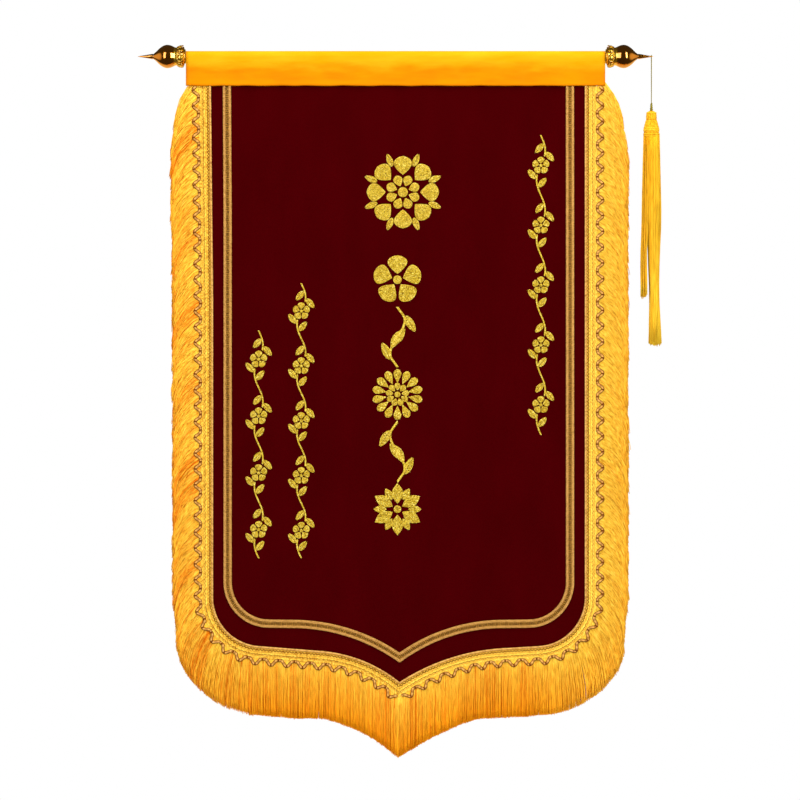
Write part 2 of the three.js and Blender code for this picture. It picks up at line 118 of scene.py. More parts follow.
# How pale the yarn is made, on the hem and on the left and right sides, the right side paler as painted light
# as if lit more, and how strongly its painted streaks of glint and shadow show
PAINTED_SIDE_LIGHT = {"hem": 0.6, -1: 0.56, 1: 1.0}
STREAK_SHADE = {"hem": 0.42, "side": 0.9, "hem_pitch": 15, "side_pitch": 9}
# How much the tone differs by bundle and by strand, and its slow waves along the sides
TONES = {"bundle": 0.13, "strand": 0.2, "waves": ((0.12, 17.0, 0), (0.1, 7.3, 1))}
LAYERS = {
    "under": [
        {"root": -0.9, "tip": 1.2, "radius": 1.1, "pitch": 1.1, "stray": 0.1, "loose": 0.0, "places": 6},
        {"root": -1.5, "tip": 0.2, "radius": 0.7, "pitch": 1.05, "stray": 0.5, "loose": 0.6, "places": 6},
    ],
    "over": [
        {"root": -1.8, "tip": -1.0, "radius": 0.5, "pitch": 0.86, "stray": 0.6, "loose": 1.0, "places": 8},
        {"root": -2.1, "tip": -2.0, "radius": 0.46, "pitch": 0.86, "stray": 0.8, "loose": 1.0, "places": 8},
    ],
}

# The border braid
BORDER = {"half": 4.7, "edges": (-4.2, -3.0, 3.0, 4.2), "edge_radius": 0.62, "edge_twist": 2.2,
          "chevron": 2.4, "chevron_half": 2.2, "chevron_lean": 1.4, "chevron_wide": 1.6,
          "knot": 3.5, "knot_half": 1.0, "knot_wide": 1.5}

# The embroidery: its stitches, the rosette's middle, the spray and the vines as x, top and foot
STITCH = {"spacing": 0.64, "longest": 6.5, "rise": 0.4, "lift": 0.15, "edge": 0.34, "vein": 0.9,
          "leaf_slant": 38}
ROSETTE = (5, -175)
SPRAY = {"x": -2, "blossoms": (-288, -436, -584), "size": 31.5, "bend": 14, "stem": 3.2, "leaf": 24}
VINE = {"pitch": 74, "swing": 5.5, "stem": 2.1, "blossom": 11, "leaf": 15}
VINES = {"right": (183, -102, -488), "left": (-126, -293, -647), "far_left": (-181, -354, -647)}

# How many points a stitch has: its two ends and two rings of four
THREAD_POINTS = 10

# The finials, as turned outlines from the socket's mouth to the tip of the spike
FINIAL_OUTLINE = [
    (-1.4, 8.8), (-1.1, 9.3), (-0.3, 9.3), (0, 9.6), (0.3, 11.6), (0.6, 12.2), (1.3, 12.7), (2.1, 12.2),
    (5.2, 12.1), (8.2, 11.8), (10, 11.5), (11.2, 11.5), (12.6, 12.0), (14, 12.7), (15.8, 13.6), (17.8, 14.4),
    (20, 14.9), (22.4, 15.1), (24.6, 14.8), (26.8, 14.1), (29, 12.9), (31.2, 11.4), (33.4, 9.5), (35.4, 7.4),
    (37.2, 5.6), (38.8, 4.4), (39.8, 3.5), (40.5, 3.1), (41.2, 3.4), (42, 3.35), (48, 2.3), (54, 1.3),
    (59.6, 0.4), (60.4, 0.12),
]
FINIAL = {"foot_left": -276.6, "foot_right": 267.7, "sides": 72, "socket": 12}
LEAF = {"count": 7, "along": 5.7, "out": 12.9, "rim": 3.9, "wire": 0.72, "tilt": 15, "broad": 1.12,
        "boss": 0.82, "boss_height": 0.36}
# Where the matt neck, painted paler as a highlight, passes into the polished ball, from the foot
MATT_AND_PAINTED_PALE_TO = (12.4, 14.6)

# The tassel and its loop of cord
HANG_X = 325.6
LOOP = {"radius": 0.55, "turn": 2.4, "top": 1.7, "twist": 5.5, "places": 260}
LOOP_ROUTE = [(-0.9, -60), (-0.9, -52), (-1.3, -40), (-1.9, -26), (-2.3, -12), (-2.4, -4)]
TASSEL_OUTLINE = [
    (-70.2, 2.2), (-71.4, 4.8), (-72.8, 6.5), (-80, 7.1), (-81.5, 6.6), (-83, 7.5), (-91.5, 9.6),
    (-94.5, 10.2), (-98.5, 9.6), (-103, 11.2),
]
TASSEL_BANDS = [(-72.8, 6.3, 0.7), (-92.9, 9.6, 1.1), (-95.1, 9.8, 1.1)]
TASSEL_TIES = [(-81.4, 6.6, 0.55), (-98.6, 9.4, 0.7)]
KNOT = {"foot": -71, "top": -59.8, "radius": 1.35, "turns": 4.2, "yarn": 0.8, "wide": 1.15, "slim": 0.55}
SKIRT = {"strands": 520, "root": -99, "radius": 10.2, "spread": 1.24, "long": -369, "short": -308,
         "part_x": -3.9, "parts_from": 0.42, "thread": 0.56, "long_drift": 1.6, "long_narrows": 0.62,
         "long_flares": 0.28, "short_from": -8.5, "short_to": -10.6, "short_narrows": 0.85, "uneven": 2.0}

# The camera's frame is 800 pixels of 1.29 mm where the cloth hangs
PIXEL = 1.29
PIXELS = 800
ORIGIN_PIXEL = (399, 56.5)
CAMERA = {"away": 6000, "sensor": 36}
FLOOR = {"z": -1300, "radius": 1500}

# Lights in metres and watts, and how bright the room is
SOFTBOXES = {
    "softbox_top": {"place": (0.1, -0.9, 1.6), "target": (0, 0, -0.1), "size": (1.8, 0.9), "power": 34,
                    "mirrored": False},
    "softbox_left": {"place": (-1.5, -1.9, 0.3), "target": (0, 0, -0.3), "size": (1.1, 2.3), "power": 24},
    "softbox_right": {"place": (1.75, -2.05, 0.4), "target": (0, 0, -0.2), "size": (0.8, 2.4), "power": 41},
    "softbox_back": {"place": (0.6, 2.2, 0.9), "target": (0, 0, -0.4), "size": (1.2, 1.2), "power": 22,
                     "mirrored": False},
}
ROOM = {"soft": 0.62, "tint": (1, 0.74, 0.28), "walls": 0.06, "floor": 1.0, "behind": (0, 0.8, -0.6),
        "ends": 0.85}

Line = namedtuple("Line", "x z out_x out_z along total")


def linear(red, green, blue):
    """A display colour from 0 to 255, as the shader's own values."""
    shares = [c / 255 for c in (red, green, blue)]
    return tuple(c / 12.92 if c < 0.0404 else ((c + 0.055) / 1.055) ** 2.4 for c in shares)


def mix(a, b, share):
    return a + (b - a) * share


def roll(x, z):
    """How far the hanging cloth stands off its plane."""
    fall = np.maximum(0, SLEEVE["hem"] - z) / CLOTH_DROP
    return fall * sum(row["depth"] * np.sin(2 * np.pi * (x + row["shift"]) / row["length"]) for row in ROLLS)


def distances(path):
    """How far along a line each of its points lies."""
    return np.concatenate([[0], np.cumsum(np.linalg.norm(np.diff(path, axis=0), axis=1))])


def walked(path, at):
    """The places at given distances along a line of points."""
    length = distances(path)
    return np.column_stack([np.interp(at, length, column) for column in path.T])


def trim_line(row, outwards, step, top=SLEEVE["hem"]):
    """Equally spaced places along a trim, down the side, round the corner and over an arc to the point."""
    hem, point = np.radians(row["hem_slope"]), np.radians(row["point_slope"])
    point_across = row["side"] * row["point_x"]
    inwards = row["corner"] + row["radius"] * np.sin(hem) - point_across
    down = row["corner_z"] - row["radius"] * np.cos(hem) - row["point_z"]
    turn = 1 - np.cos(point - hem)
    run = (inwards * (np.cos(hem) - np.cos(point)) - down * (np.sin(point) - np.sin(hem))) / turn
    radius = (down * np.cos(hem) - inwards * np.sin(hem)) / turn
    arc_x = point_across + inwards - run * np.cos(hem) + radius * np.sin(hem)
    arc_z = row["point_z"] + down - run * np.sin(hem) - radius * np.cos(hem)
    corner = np.linspace(0, hem - np.pi / 2, 60)
    corner_radius, arc_radius = row["radius"] + outwards, radius - outwards
    arc = np.linspace(np.pi / 2 + hem, np.arccos((point_across - arc_x) / arc_radius), 60)
    side_x = row["corner"] + corner_radius
    across = np.concatenate([
        [row["top"] + outwards, side_x],
        row["corner"] + corner_radius * np.cos(corner),
        arc_x + arc_radius * np.cos(arc),
    ])
    z = np.concatenate([
        [top, row["settles"]],
        row["corner_z"] + corner_radius * np.sin(corner),
        arc_z + arc_radius * np.sin(arc),
    ])
    path = np.column_stack([across, z])
    total = distances(path)[-1]
    count = int(round(total / step))
    along = (np.arange(count) + 0.5) / count * total
    x, z = walked(path, along).T
    run_x, run_z = (walked(path, np.minimum(total, along + 1)) - walked(path, np.maximum(0, along - 1))).T
    size = np.hypot(run_x, run_z)
    side = row["side"]
    return Line(side * x, z, -side * run_z / size, run_x / size, along, total)


def trim_edge(row, outwards, count):
    """The two ends and count places between them on a line beside a trim."""
    line = trim_line(row, outwards, 1)
    at = np.linspace(0, line.total, count)
    x, z = np.interp(at, line.along, line.x), np.interp(at, line.along, line.z)
    z[-1] -= (row["point_x"] - x[-1]) * line.out_x[-1] / line.out_z[-1]
    x[-1] = row["point_x"]
    return np.column_stack([x, z])


# Making meshes from arrays

def make_piece(name, points, quads, triangles, material, slot, facts=None):
    """An object of the banner, from places in millimetres and rows of corner numbers."""
    quads = np.asarray(quads, int).reshape(-1, 4)
    triangles = np.asarray(triangles, int).reshape(-1, 3)
    corners = np.concatenate([quads.ravel(), triangles.ravel()]).astype(np.int32)
    sizes = np.concatenate([np.full(len(quads), 4), np.full(len(triangles), 3)])
    starts = np.concatenate([[0], np.cumsum(sizes)[:-1]])
    mesh = bpy.data.meshes.new(name)
    mesh.vertices.add(len(points))
    mesh.vertices.foreach_set("co", (np.asarray(points, float) * MM).astype(np.float32).ravel())
    mesh.loops.add(len(corners))
    mesh.loops.foreach_set("vertex_index", corners)
    mesh.polygons.add(len(sizes))
    mesh.polygons.foreach_set("loop_start", starts.astype(np.int32))
    mesh.polygons.foreach_set("use_smooth", np.ones(len(sizes), bool))
    mesh.update(calc_edges=True)
    mesh.validate()
    for key, values in (facts or {}).items():
        attribute = mesh.attributes.new(key, "FLOAT", "POINT")
        attribute.data.foreach_set("value", np.asarray(values, np.float32).ravel())
    thing = bpy.data.objects.new(name, mesh)
    bpy.context.scene.collection.objects.link(thing)
    mesh.materials.append(material)
    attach(thing, "root")
    return thing


def unit(vectors):
    return vectors / np.maximum(np.linalg.norm(vectors, axis=-1, keepdims=True), 1e-12)


def tubes(paths, radii, sides):
    """Closed tubes: paths is tubes by places by 3, radii is tubes by places."""
    paths = np.asarray(paths, float)
    count, places = paths.shape[:2]
    radii = np.broadcast_to(radii, (count, places))
    along = unit(np.gradient(paths, axis=1))
    flat = unit(np.cross(along, [0, 1, 0]))
    up = np.cross(flat, along)
    turns = 2 * np.pi * np.arange(sides) / sides
    ring = np.cos(turns)[:, None] * flat[:, :, None, :] + np.sin(turns)[:, None] * up[:, :, None, :]
    points = paths[:, :, None, :] + radii[:, :, None, None] * ring
    index = np.arange(count * places * sides).reshape(count, places, sides)
    return points.reshape(-1, 3), *tube_faces(index)


def tube_faces(index):
    """The walls between neighbouring rings of corners, and a fan over each end."""
    beside = np.roll(index, -1, axis=-1)
    before, after = index[..., :-1, :], index[..., 1:, :]
    walls = np.stack([before, after, beside[..., 1:, :], beside[..., :-1, :]], axis=-1)
    first, last = index[..., 0, :], index[..., -1, :]
    fans = []
    for j in range(1, index.shape[-1] - 1):
        fans.append(np.stack([first[..., 0], first[..., j], first[..., j + 1]], axis=-1))
        fans.append(np.stack([last[..., 0], last[..., j + 1], last[..., j]], axis=-1))
    return walls.reshape(-1, 4), np.concatenate([fan.reshape(-1, 3) for fan in fans])


def thread_tones(rng, least, most, shape):
    """One random tone for all the points of each thread in a shape."""
    count = len(shape[0]) // THREAD_POINTS
    return np.repeat(rng.uniform(least, most, count), THREAD_POINTS)


def threads(starts, ends, widths, crowns):
    """Stitches: closed four-sided spindles from start to end, arched towards the viewer."""
    starts, ends = np.asarray(starts, float), np.asarray(ends, float)
    count = len(starts)
    half = np.broadcast_to(widths, (count,))[:, None] / 2
    arch = np.zeros((count, 3))
    arch[:, 1] = -np.broadcast_to(crowns, (count,))
    along = unit(ends - starts)
    flat = unit(np.cross(along, [0, 1, 0])) * half
    up = unit(np.cross(flat, along)) * half * 0.8
    corners = [flat, up, -flat, -up]
    first = mix(starts, ends, 0.16) + arch
    second = mix(starts, ends, 0.84) + arch
    rows = [starts, *[first + c for c in corners], *[second + c for c in corners], ends]
    points = np.stack(rows, axis=1)
    base = THREAD_POINTS * np.arange(count)[:, None]
    quads, triangles = [], []
    for j in range(4):
        k = (j + 1) % 4
        quads.append(base + [1 + j, 5 + j, 5 + k, 1 + k])
        triangles.append(base + [0, 1 + j, 1 + k])
        triangles.append(base + [5 + j, 9, 5 + k])
    return points.reshape(-1, 3), np.concatenate(quads), np.concatenate(triangles)


def together(*shapes):
    """Several arrays of points and faces as one."""
    points, quads, triangles, offset = [], [], [], 0
    for p, q, t in shapes:
        points.append(p)
        quads.append(np.asarray(q, int).reshape(-1, 4) + offset)
        triangles.append(np.asarray(t, int).reshape(-1, 3) + offset)
        offset += len(p)
    return np.concatenate(points), np.concatenate(quads), np.concatenate(triangles)


def on_cloth(points):
    """Places laid on a flat banner, moved onto the hanging cloth."""
    points = np.array(points, float)
    points[..., 1] += roll(points[..., 0], points[..., 2])
    return points


def make_sewn(name, shape, material, slot, facts):
    """A piece sewn on the banner, laid out flat and moved onto the hanging cloth."""
    return make_piece(name, on_cloth(shape[0]), *shape[1:], material, slot, facts)


def grid_faces(columns, rows):
    index = np.arange(columns * rows).reshape(columns, rows)
    return np.stack([index[:-1, :-1], index[1:, :-1], index[1:, 1:], index[:-1, 1:]], axis=-1).reshape(-1, 4)


# Materials

def new_material(name, **sockets):
    material = bpy.data.materials.new(name)
    material.use_nodes = True
    shader = material.node_tree.nodes["Principled BSDF"]
    for key, value in sockets.items():
        shader.inputs[key.replace("_", " ")].default_value = value
    return material


def add_node(material, kind, **values):
    """A node with its own settings, and with numbers or links for its sockets by name."""
    tree = material.node_tree
    made = tree.nodes.new(kind)
    for key, value in values.items():
        if hasattr(made, key):
            setattr(made, key, value)
            continue
        socket = made.inputs[key.replace("_", " ")]
        if isinstance(value, bpy.types.NodeSocket):
            tree.links.new(value, socket)
        else:
            socket.default_value = value
    return made


def to_shader(material, socket, name):
    material.node_tree.links.new(socket, material.node_tree.nodes["Principled BSDF"].inputs[name])


def object_place(material):
    return add_node(material, "ShaderNodeTexCoord").outputs["Object"]


def noise(material, place, scale, detail=3.0):
    return add_node(material, "ShaderNodeTexNoise", Vector=place, Scale=scale, Detail=detail).outputs["Fac"]


def stretched(material, place, scale):
    return add_node(material, "ShaderNodeMapping", Vector=place, Scale=scale).outputs["Vector"]


def ramp(material, value, stops):
    """A colour ramp over a value, from pairs of position and colour."""
    made = add_node(material, "ShaderNodeValToRGB", Fac=value)
    elements = made.color_ramp.elements
    while len(elements) < len(stops):
        elements.new(0.5)
    for element, (position, color) in zip(elements, stops):
        element.position = position
        element.color = (*color, 1)
    return made.outputs["Color"]


def blended(material, share, a, b, way="MIX"):
    made = add_node(material, "ShaderNodeMix", data_type="RGBA", blend_type=way)
    for socket, value in ((made.inputs[0], share), (made.inputs[6], a), (made.inputs[7], b)):
        if isinstance(value, bpy.types.NodeSocket):
            material.node_tree.links.new(value, socket)
        elif isinstance(value, tuple):
            socket.default_value = (*value, 1)
        else:
            socket.default_value = value
    return made.outputs[2]


def computed(material, operation, a, b=0.0):
    made = add_node(material, "ShaderNodeMath", operation=operation)
    for socket, value in zip(made.inputs, (a, b)):
        if isinstance(value, bpy.types.NodeSocket):
            material.node_tree.links.new(value, socket)
        else:
            socket.default_value = value
    return made.outputs[0]


def rising(material, value, start, end, most=1.0):
    """Rises smoothly from nothing to the most, while a value goes from start to end."""
    return add_node(material, "ShaderNodeMapRange", interpolation_type="SMOOTHSTEP", Value=value,
                    From_Min=start, From_Max=end, To_Max=most).outputs["Result"]


def fact(material, name):
    return add_node(material, "ShaderNodeAttribute", attribute_name=name).outputs["Fac"]


def bumped(material, height, distance, strength=1.0):
    bump = add_node(material, "ShaderNodeBump", Height=height, Distance=distance * MM, Strength=strength)
    to_shader(material, bump.outputs["Normal"], "Normal")


def velvet():
    """Dark maroon pile, brushed downwards, a little lighter where the pile leans."""
    material = new_material("velvet", Roughness=0.95, Sheen_Weight=0.05, Sheen_Roughness=0.4,
                            Sheen_Tint=(0.6, 0.03, 0.04, 1), Specular_IOR_Level=0.0)
    place = object_place(material)
    brushed = noise(material, stretched(material, place, (1, 1, 0.4)), 22, 4)
    pile = noise(material, stretched(material, place, (1, 1, 0.5)), 1400, 2)
    nap = ramp(material, brushed, [(0.3, (0.0405, 0.0001, 0.0007)), (0.7, (0.0475, 0.0001, 0.0009))])
    tufts = ramp(material, pile, [(0.3, (0.88, 0.88, 0.88)), (0.7, (1.1, 1.1, 1.1))])
    to_shader(material, blended(material, 1.0, nap, tufts, "MULTIPLY"), "Base Color")
    bumped(material, pile, 0.3, 0.4)
    return material


def satin():
    """Golden satin with a fine cross rib and soft streaks, with painted light: paler where it lies over the
    rod, as if lit from above.
    """
    material = new_material("satin", Roughness=0.5, Specular_IOR_Level=0.03)
    place = object_place(material)
    streaks = noise(material, stretched(material, place, (1, 1, 5)), 16, 3)
    rib = add_node(material, "ShaderNodeTexWave", Vector=place, bands_direction="X", Scale=260.0,
                   Distortion=1.2, Detail=2.0)
    # Painted light: the pale ramp is the lit top over the rod, the deep ramp the shaded front below it.
    deep = ramp(material, streaks, [(0.3, (0.68, 0.185, 0.0)), (0.7, (0.74, 0.24, 0.0))])
    pale = ramp(material, streaks, [(0.3, (0.75, 0.30, 0.0)), (0.7, (0.80, 0.38, 0.006))])
    height = add_node(material, "ShaderNodeSeparateXYZ", Vector=place).outputs["Z"]
    clouds = noise(material, stretched(material, place, (1, 1, 3)), 24, 3)
    shifted = computed(material, "ADD", height, computed(material, "MULTIPLY", clouds, 22 * MM))
    painted_top_light = rising(material, shifted, -11 * MM, 5 * MM)
    to_shader(material, blended(material, painted_top_light, deep, pale), "Base Color")
    bumped(material, rib.outputs["Fac"], 0.05, 0.5)
    return material


def yarn(name, root, tip, dark, roughness=0.55):
    """Twisted rayon: its colour runs from root to tip, with painted glints and shadows in streaks along each
    strand.
    """
    material = new_material(name, Roughness=roughness, Specular_IOR_Level=0.08)
    run = blended(material, fact(material, "along"), root, tip)
    tone = ramp(material, fact(material, "tone"), [(0.05, (0, 0, 0)), (0.6, (1, 1, 1))])
    place = add_node(material, "ShaderNodeCombineXYZ", X=fact(material, "lane"), Y=fact(material, "curl"))
    streaks = noise(material, place.outputs["Vector"], 1, 2)
    # Painted highlight and shadow: pale yellow and dark orange streaks stand for the light and shade on curly
    # yarn.
    painted_streaks = ramp(material, streaks, [
        (0.34, (0.66, 0.5, 0.28)), (0.5, (0.96, 0.93, 0.86)), (0.67, (1.06, 1.24, 1.9))])
    shade = blended(material, fact(material, "painted_streaks"), (1.0, 1.0, 1.0), painted_streaks)
    colour = blended(material, tone, dark, run)
    to_shader(material, blended(material, 1.0, colour, shade, "MULTIPLY"), "Base Color")
    bumped(material, noise(material, object_place(material), 1600, 1), 0.12, 0.7)
    return material


def metallic_thread(name, pale, deep, metal, shine=0.4):
    """Thread wound with foil: pale and deep painted glints side by side."""
    material = new_material(name, Metallic=metal, Roughness=0.4, Specular_IOR_Level=shine)
    place = object_place(material)
    grain = noise(material, place, 700, 2)
    tone = computed(material, "ADD", computed(material, "MULTIPLY", grain, 0.55), fact(material, "tone"))
    share = ramp(material, tone, [(0.35, (0, 0, 0)), (1.0, (1, 1, 1))])
    to_shader(material, blended(material, share, deep, pale), "Base Color")
    bumped(material, noise(material, place, 1500, 1), 0.15, 0.8)
    return material


def gold_thread():
    """Glittering gilt thread with painted glints: every millimetre of it is made paler or darker at random,
    as if it caught the light in its own way.
    """
    material = new_material("gold_thread", Metallic=0.15, Roughness=0.42, Specular_IOR_Level=0.4)
    place = object_place(material)
    flecks = add_node(material, "ShaderNodeTexVoronoi", Vector=place, Scale=1000.0).outputs["Color"]
    own = add_node(material, "ShaderNodeSeparateColor", Color=flecks).outputs["Red"]
    glint = computed(material, "ADD", computed(material, "MULTIPLY", own, 0.7),
                     computed(material, "MULTIPLY", fact(material, "tone"), 0.3))
    gilt = ramp(material, glint, [
        (0.08, linear(140, 104, 8)), (0.35, linear(204, 168, 28)), (0.7, linear(230, 200, 56)),
        (0.92, linear(252, 238, 130))])
    to_shader(material, gilt, "Base Color")
    bumped(material, noise(material, place, 1300, 1), 0.2, 0.8)
    return material


def plated_gold():
    """Gold plating under amber lacquer: polished on the ball and the spike, matt on collar and neck, which
    are given a paler gold as their painted highlight.
    """
    material = new_material("plated_gold", Metallic=1.0, Coat_Weight=1.0, Coat_Roughness=0.03, Coat_IOR=1.7)
    place = object_place(material)
    clouds = noise(material, place, 60, 3)
    wipes = noise(material, stretched(material, place, (1, 9, 9)), 70, 3)
    across = add_node(material, "ShaderNodeSeparateXYZ", Vector=place).outputs["X"]
    right = computed(material, "SUBTRACT", across, FINIAL["foot_right"] * MM)
    left = computed(material, "SUBTRACT", FINIAL["foot_left"] * MM, across)
    along = computed(material, "MAXIMUM", left, right)
    polish_vs_painted_highlight = rising(material, along, MATT_AND_PAINTED_PALE_TO[0] * MM, MATT_AND_PAINTED_PALE_TO[1] * MM)
    amber = ramp(material, clouds, [(0.3, linear(196, 116, 8)), (0.75, linear(232, 154, 18))])
    # Painted highlight: the paler gold on the matt collar and neck stands for the bright ring of light they
    # show.
    plain = ramp(material, clouds, [(0.3, linear(244, 180, 34)), (0.75, linear(255, 214, 76))])
    to_shader(material, blended(material, polish_vs_painted_highlight, plain, amber), "Base Color")
    smooth = ramp(material, wipes, [(0.35, (0.09, 0.09, 0.09)), (0.8, (0.17, 0.17, 0.17))])
    matt = ramp(material, wipes, [(0.35, (0.30, 0.30, 0.30)), (0.8, (0.40, 0.40, 0.40))])
    to_shader(material, blended(material, polish_vs_painted_highlight, matt, smooth), "Roughness")
    return material


def rod_wood():
    """Plain sanded wood with its grain along the rod."""
    material = new_material("rod_wood", Roughness=0.6)
    grain = noise(material, stretched(material, object_place(material), (0.08, 1, 1)), 500, 4)
    to_shader(material, ramp(material, grain, [(0.3, linear(176, 140, 96)), (0.7, linear(212, 182, 136))]),
              "Base Color")
    bumped(material, grain, 0.05)
    return material


def floor_paper():
    """Pale paper, a little uneven."""
    material = new_material("floor_paper", Roughness=0.8)
    dust = noise(material, object_place(material), 5, 3)
    to_shader(material, ramp(material, dust, [(0.3, (0.78, 0.78, 0.77)), (0.7, (0.82, 0.82, 0.81))]),
              "Base Color")
    return material


# The camera, the lights and the floor

def add_camera():
    centre = ((PIXELS / 2 - ORIGIN_PIXEL[0]) * PIXEL, (ORIGIN_PIXEL[1] - PIXELS / 2) * PIXEL)
    data = bpy.data.cameras.new("camera")
    data.sensor_width = CAMERA["sensor"]
    data.lens = CAMERA["sensor"] * CAMERA["away"] / (PIXELS * PIXEL)
    data.clip_end = 100
    camera = bpy.data.objects.new("camera", data)
    bpy.context.scene.collection.objects.link(camera)
    camera.location = (centre[0] * MM, -CAMERA["away"] * MM, centre[1] * MM)
    camera.rotation_euler = (np.pi / 2, 0, 0)
    bpy.context.scene.camera = camera


def add_softbox(name, place, target, size, power, mirrored=True):
    data = bpy.data.lights.new(name, "AREA")
    data.shape = "RECTANGLE"
    data.size, data.size_y = size
    data.energy = power
    light = bpy.data.objects.new(name, data)
    bpy.context.scene.collection.objects.link(light)
    light.location = place
    away = Vector(target) - Vector(place)
    light.rotation_euler = away.to_track_quat("-Z", "Y").to_euler()
    light.visible_glossy = mirrored


def room_light(world):
    """How bright polished metal sees the room: dark walls, a pale floor behind it and two pale ends."""
    direction = add_node(world, "ShaderNodeTexCoord").outputs["Generated"]
    across = add_node(world, "ShaderNodeSeparateXYZ", Vector=direction).outputs["X"]
    behind = add_node(world, "ShaderNodeVectorMath", operation="DOT_PRODUCT", Vector=direction)
    behind.inputs[1].default_value = ROOM["behind"]
    floor = rising(world, behind.outputs["Value"], 0.6, 0.8, ROOM["floor"])
    ends = rising(world, computed(world, "ABSOLUTE", across), 0.86, 0.98, ROOM["ends"])
    return computed(world, "ADD", computed(world, "MAXIMUM", floor, ends), ROOM["walls"])


def chosen(world, share, a, b):
    made = add_node(world, "ShaderNodeMixShader")
    for socket, value in zip(made.inputs, (share, a.outputs[0], b.outputs[0])):
        world.node_tree.links.new(value, socket)
    return made


def add_studio():
    """A pale room with a softbox above, one behind and a tall one on each side."""
    world = bpy.data.worlds.new("studio")
    bpy.context.scene.world = world
    world.use_nodes = True
    world.node_tree.nodes.clear()
    rays = add_node(world, "ShaderNodeLightPath").outputs
    seen = add_node(world, "ShaderNodeBackground", Color=(1, 1, 1, 1))
    glossy = add_node(world, "ShaderNodeBackground", Color=(*ROOM["tint"], 1), Strength=room_light(world))
    soft = add_node(world, "ShaderNodeBackground", Color=(1, 0.99, 0.97, 1), Strength=ROOM["soft"])
    lit = chosen(world, rays["Is Glossy Ray"], soft, glossy)
    both = chosen(world, rays["Is Camera Ray"], lit, seen)
    add_node(world, "ShaderNodeOutputWorld", Surface=both.outputs[0])
    for name, row in SOFTBOXES.items():
        add_softbox(name, **row)
    bpy.context.scene.view_settings.view_transform = "Standard"


def add_floor():
    bpy.ops.object.select_all(action="DESELECT")
    bpy.ops.mesh.primitive_circle_add(vertices=96, radius=FLOOR["radius"] * MM, fill_type="NGON",
                                      location=(0, 0, FLOOR["z"] * MM))
    floor = bpy.context.active_object
    floor.name = "floor"
    bpy.ops.object.transform_apply(location=True, rotation=True, scale=True)
    floor.data.materials.append(floor_paper())
    floor.visible_glossy = False


# The sleeve, the panel and the rod

def make_sleeve(material):
    """One satin cloth with a turned hem: up in front, over the rod and down behind."""
    over = np.radians(np.linspace(178, 6, 13))
    radius = ROD_RADIUS + 0.75
    arch = [(radius * np.cos(a), radius * np.sin(a)) for a in over]
    profile = np.array(SLEEVE_TURNED + SLEEVE_FRONT + arch + SLEEVE_BACK)
    length = distances(profile)[-1]
    y, z = walked(profile, np.linspace(0, length, SLEEVE["rows"])).T
    columns = int((SLEEVE["right"] - SLEEVE["left"]) / SLEEVE["column"]) + 1
    x = np.linspace(SLEEVE["left"], SLEEVE["right"], columns)
    rng = np.random.default_rng(SEED)
    pull = 0
    for _ in range(SLEEVE_WAVES["count"]):
        size, shift = rng.uniform(*SLEEVE_WAVES["sizes"]), rng.uniform(0, 6.3)
        lean = rng.uniform(-SLEEVE_WAVES["lean"], SLEEVE_WAVES["lean"])
        pull = pull + np.sin(2 * np.pi * (x[:, None] + lean * z[None, :]) / size + shift)
    free = np.clip((-z - 5) / 20, 0, 1) * np.where(y < 0, 1, 0.7)
    points = np.zeros((columns, SLEEVE["rows"], 3))
    points[..., 0] = x[:, None]
    points[..., 1] = y[None, :] + SLEEVE_WAVES["depth"] * pull * free[None, :]
    points[..., 2] = z[None, :] + SLEEVE_WAVES["lift"] * np.roll(pull, 3, axis=0) * free[None, :]
    thing = make_piece("sleeve_cloth", points.reshape(-1, 3), grid_faces(columns, SLEEVE["rows"]), [],
                       material, "satin")
    thicken(thing, SLEEVE["cloth"])
    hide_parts("sleeve")


def thicken(thing, thick):
    bpy.ops.object.select_all(action="DESELECT")
    bpy.context.view_layer.objects.active = thing
    thing.select_set(True)
    solid = thing.modifiers.new("thickness", "SOLIDIFY")
    solid.thickness = thick * MM
    solid.offset = 0
    bpy.ops.object.modifier_apply(modifier=solid.name)


def panel_edge():
    """The cut edge of the velvet, from the left corner round the point to the right corner."""
    halves = {}
    for name, row in FRINGE_LINE.items():
        line = trim_line(row, PANEL["under_heading"], 5)
        below = line.z < row["corner_z"]
        halves[name] = np.column_stack([line.x[below], line.z[below]])
    return np.concatenate([halves["left"], halves["right"][::-1]])


def make_panel(material):
    """The velvet, cut to its edge and hung, with its flat size and area."""
    edge = panel_edge()
    rows = PANEL["rows"]
    down = np.linspace(0, 1, rows)
    widths = {name: row["corner"] + row["radius"] for name, row in FRINGE_LINE.items()}
    tops = np.where(edge[:, 0] < 0, FRINGE_LINE["left"]["top"] / widths["left"],
                    FRINGE_LINE["right"]["top"] / widths["right"])
    x = edge[:, :1] * mix(tops[:, None], 1, down[None, :])
    z = mix(PANEL["top"], edge[:, 1:], down[None, :])
    points = on_cloth(np.stack([x, np.zeros_like(x), z], axis=-1))
    thing = make_piece("panel_velvet", points.reshape(-1, 3), grid_faces(len(edge), rows), [],
                       material, "velvet")
    thicken(thing, PANEL["thick"])
    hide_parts("panel")
    strips = ((z[1:, -1] + z[:-1, -1]) / 2 - PANEL["top"]) * np.diff(x[:, -1])
    flat = (np.ptp(x) * MM, np.ptp(z) * MM)
    return thing, flat, abs(strips.sum()) * MM * MM


# The fringe, its heading and the wave cord

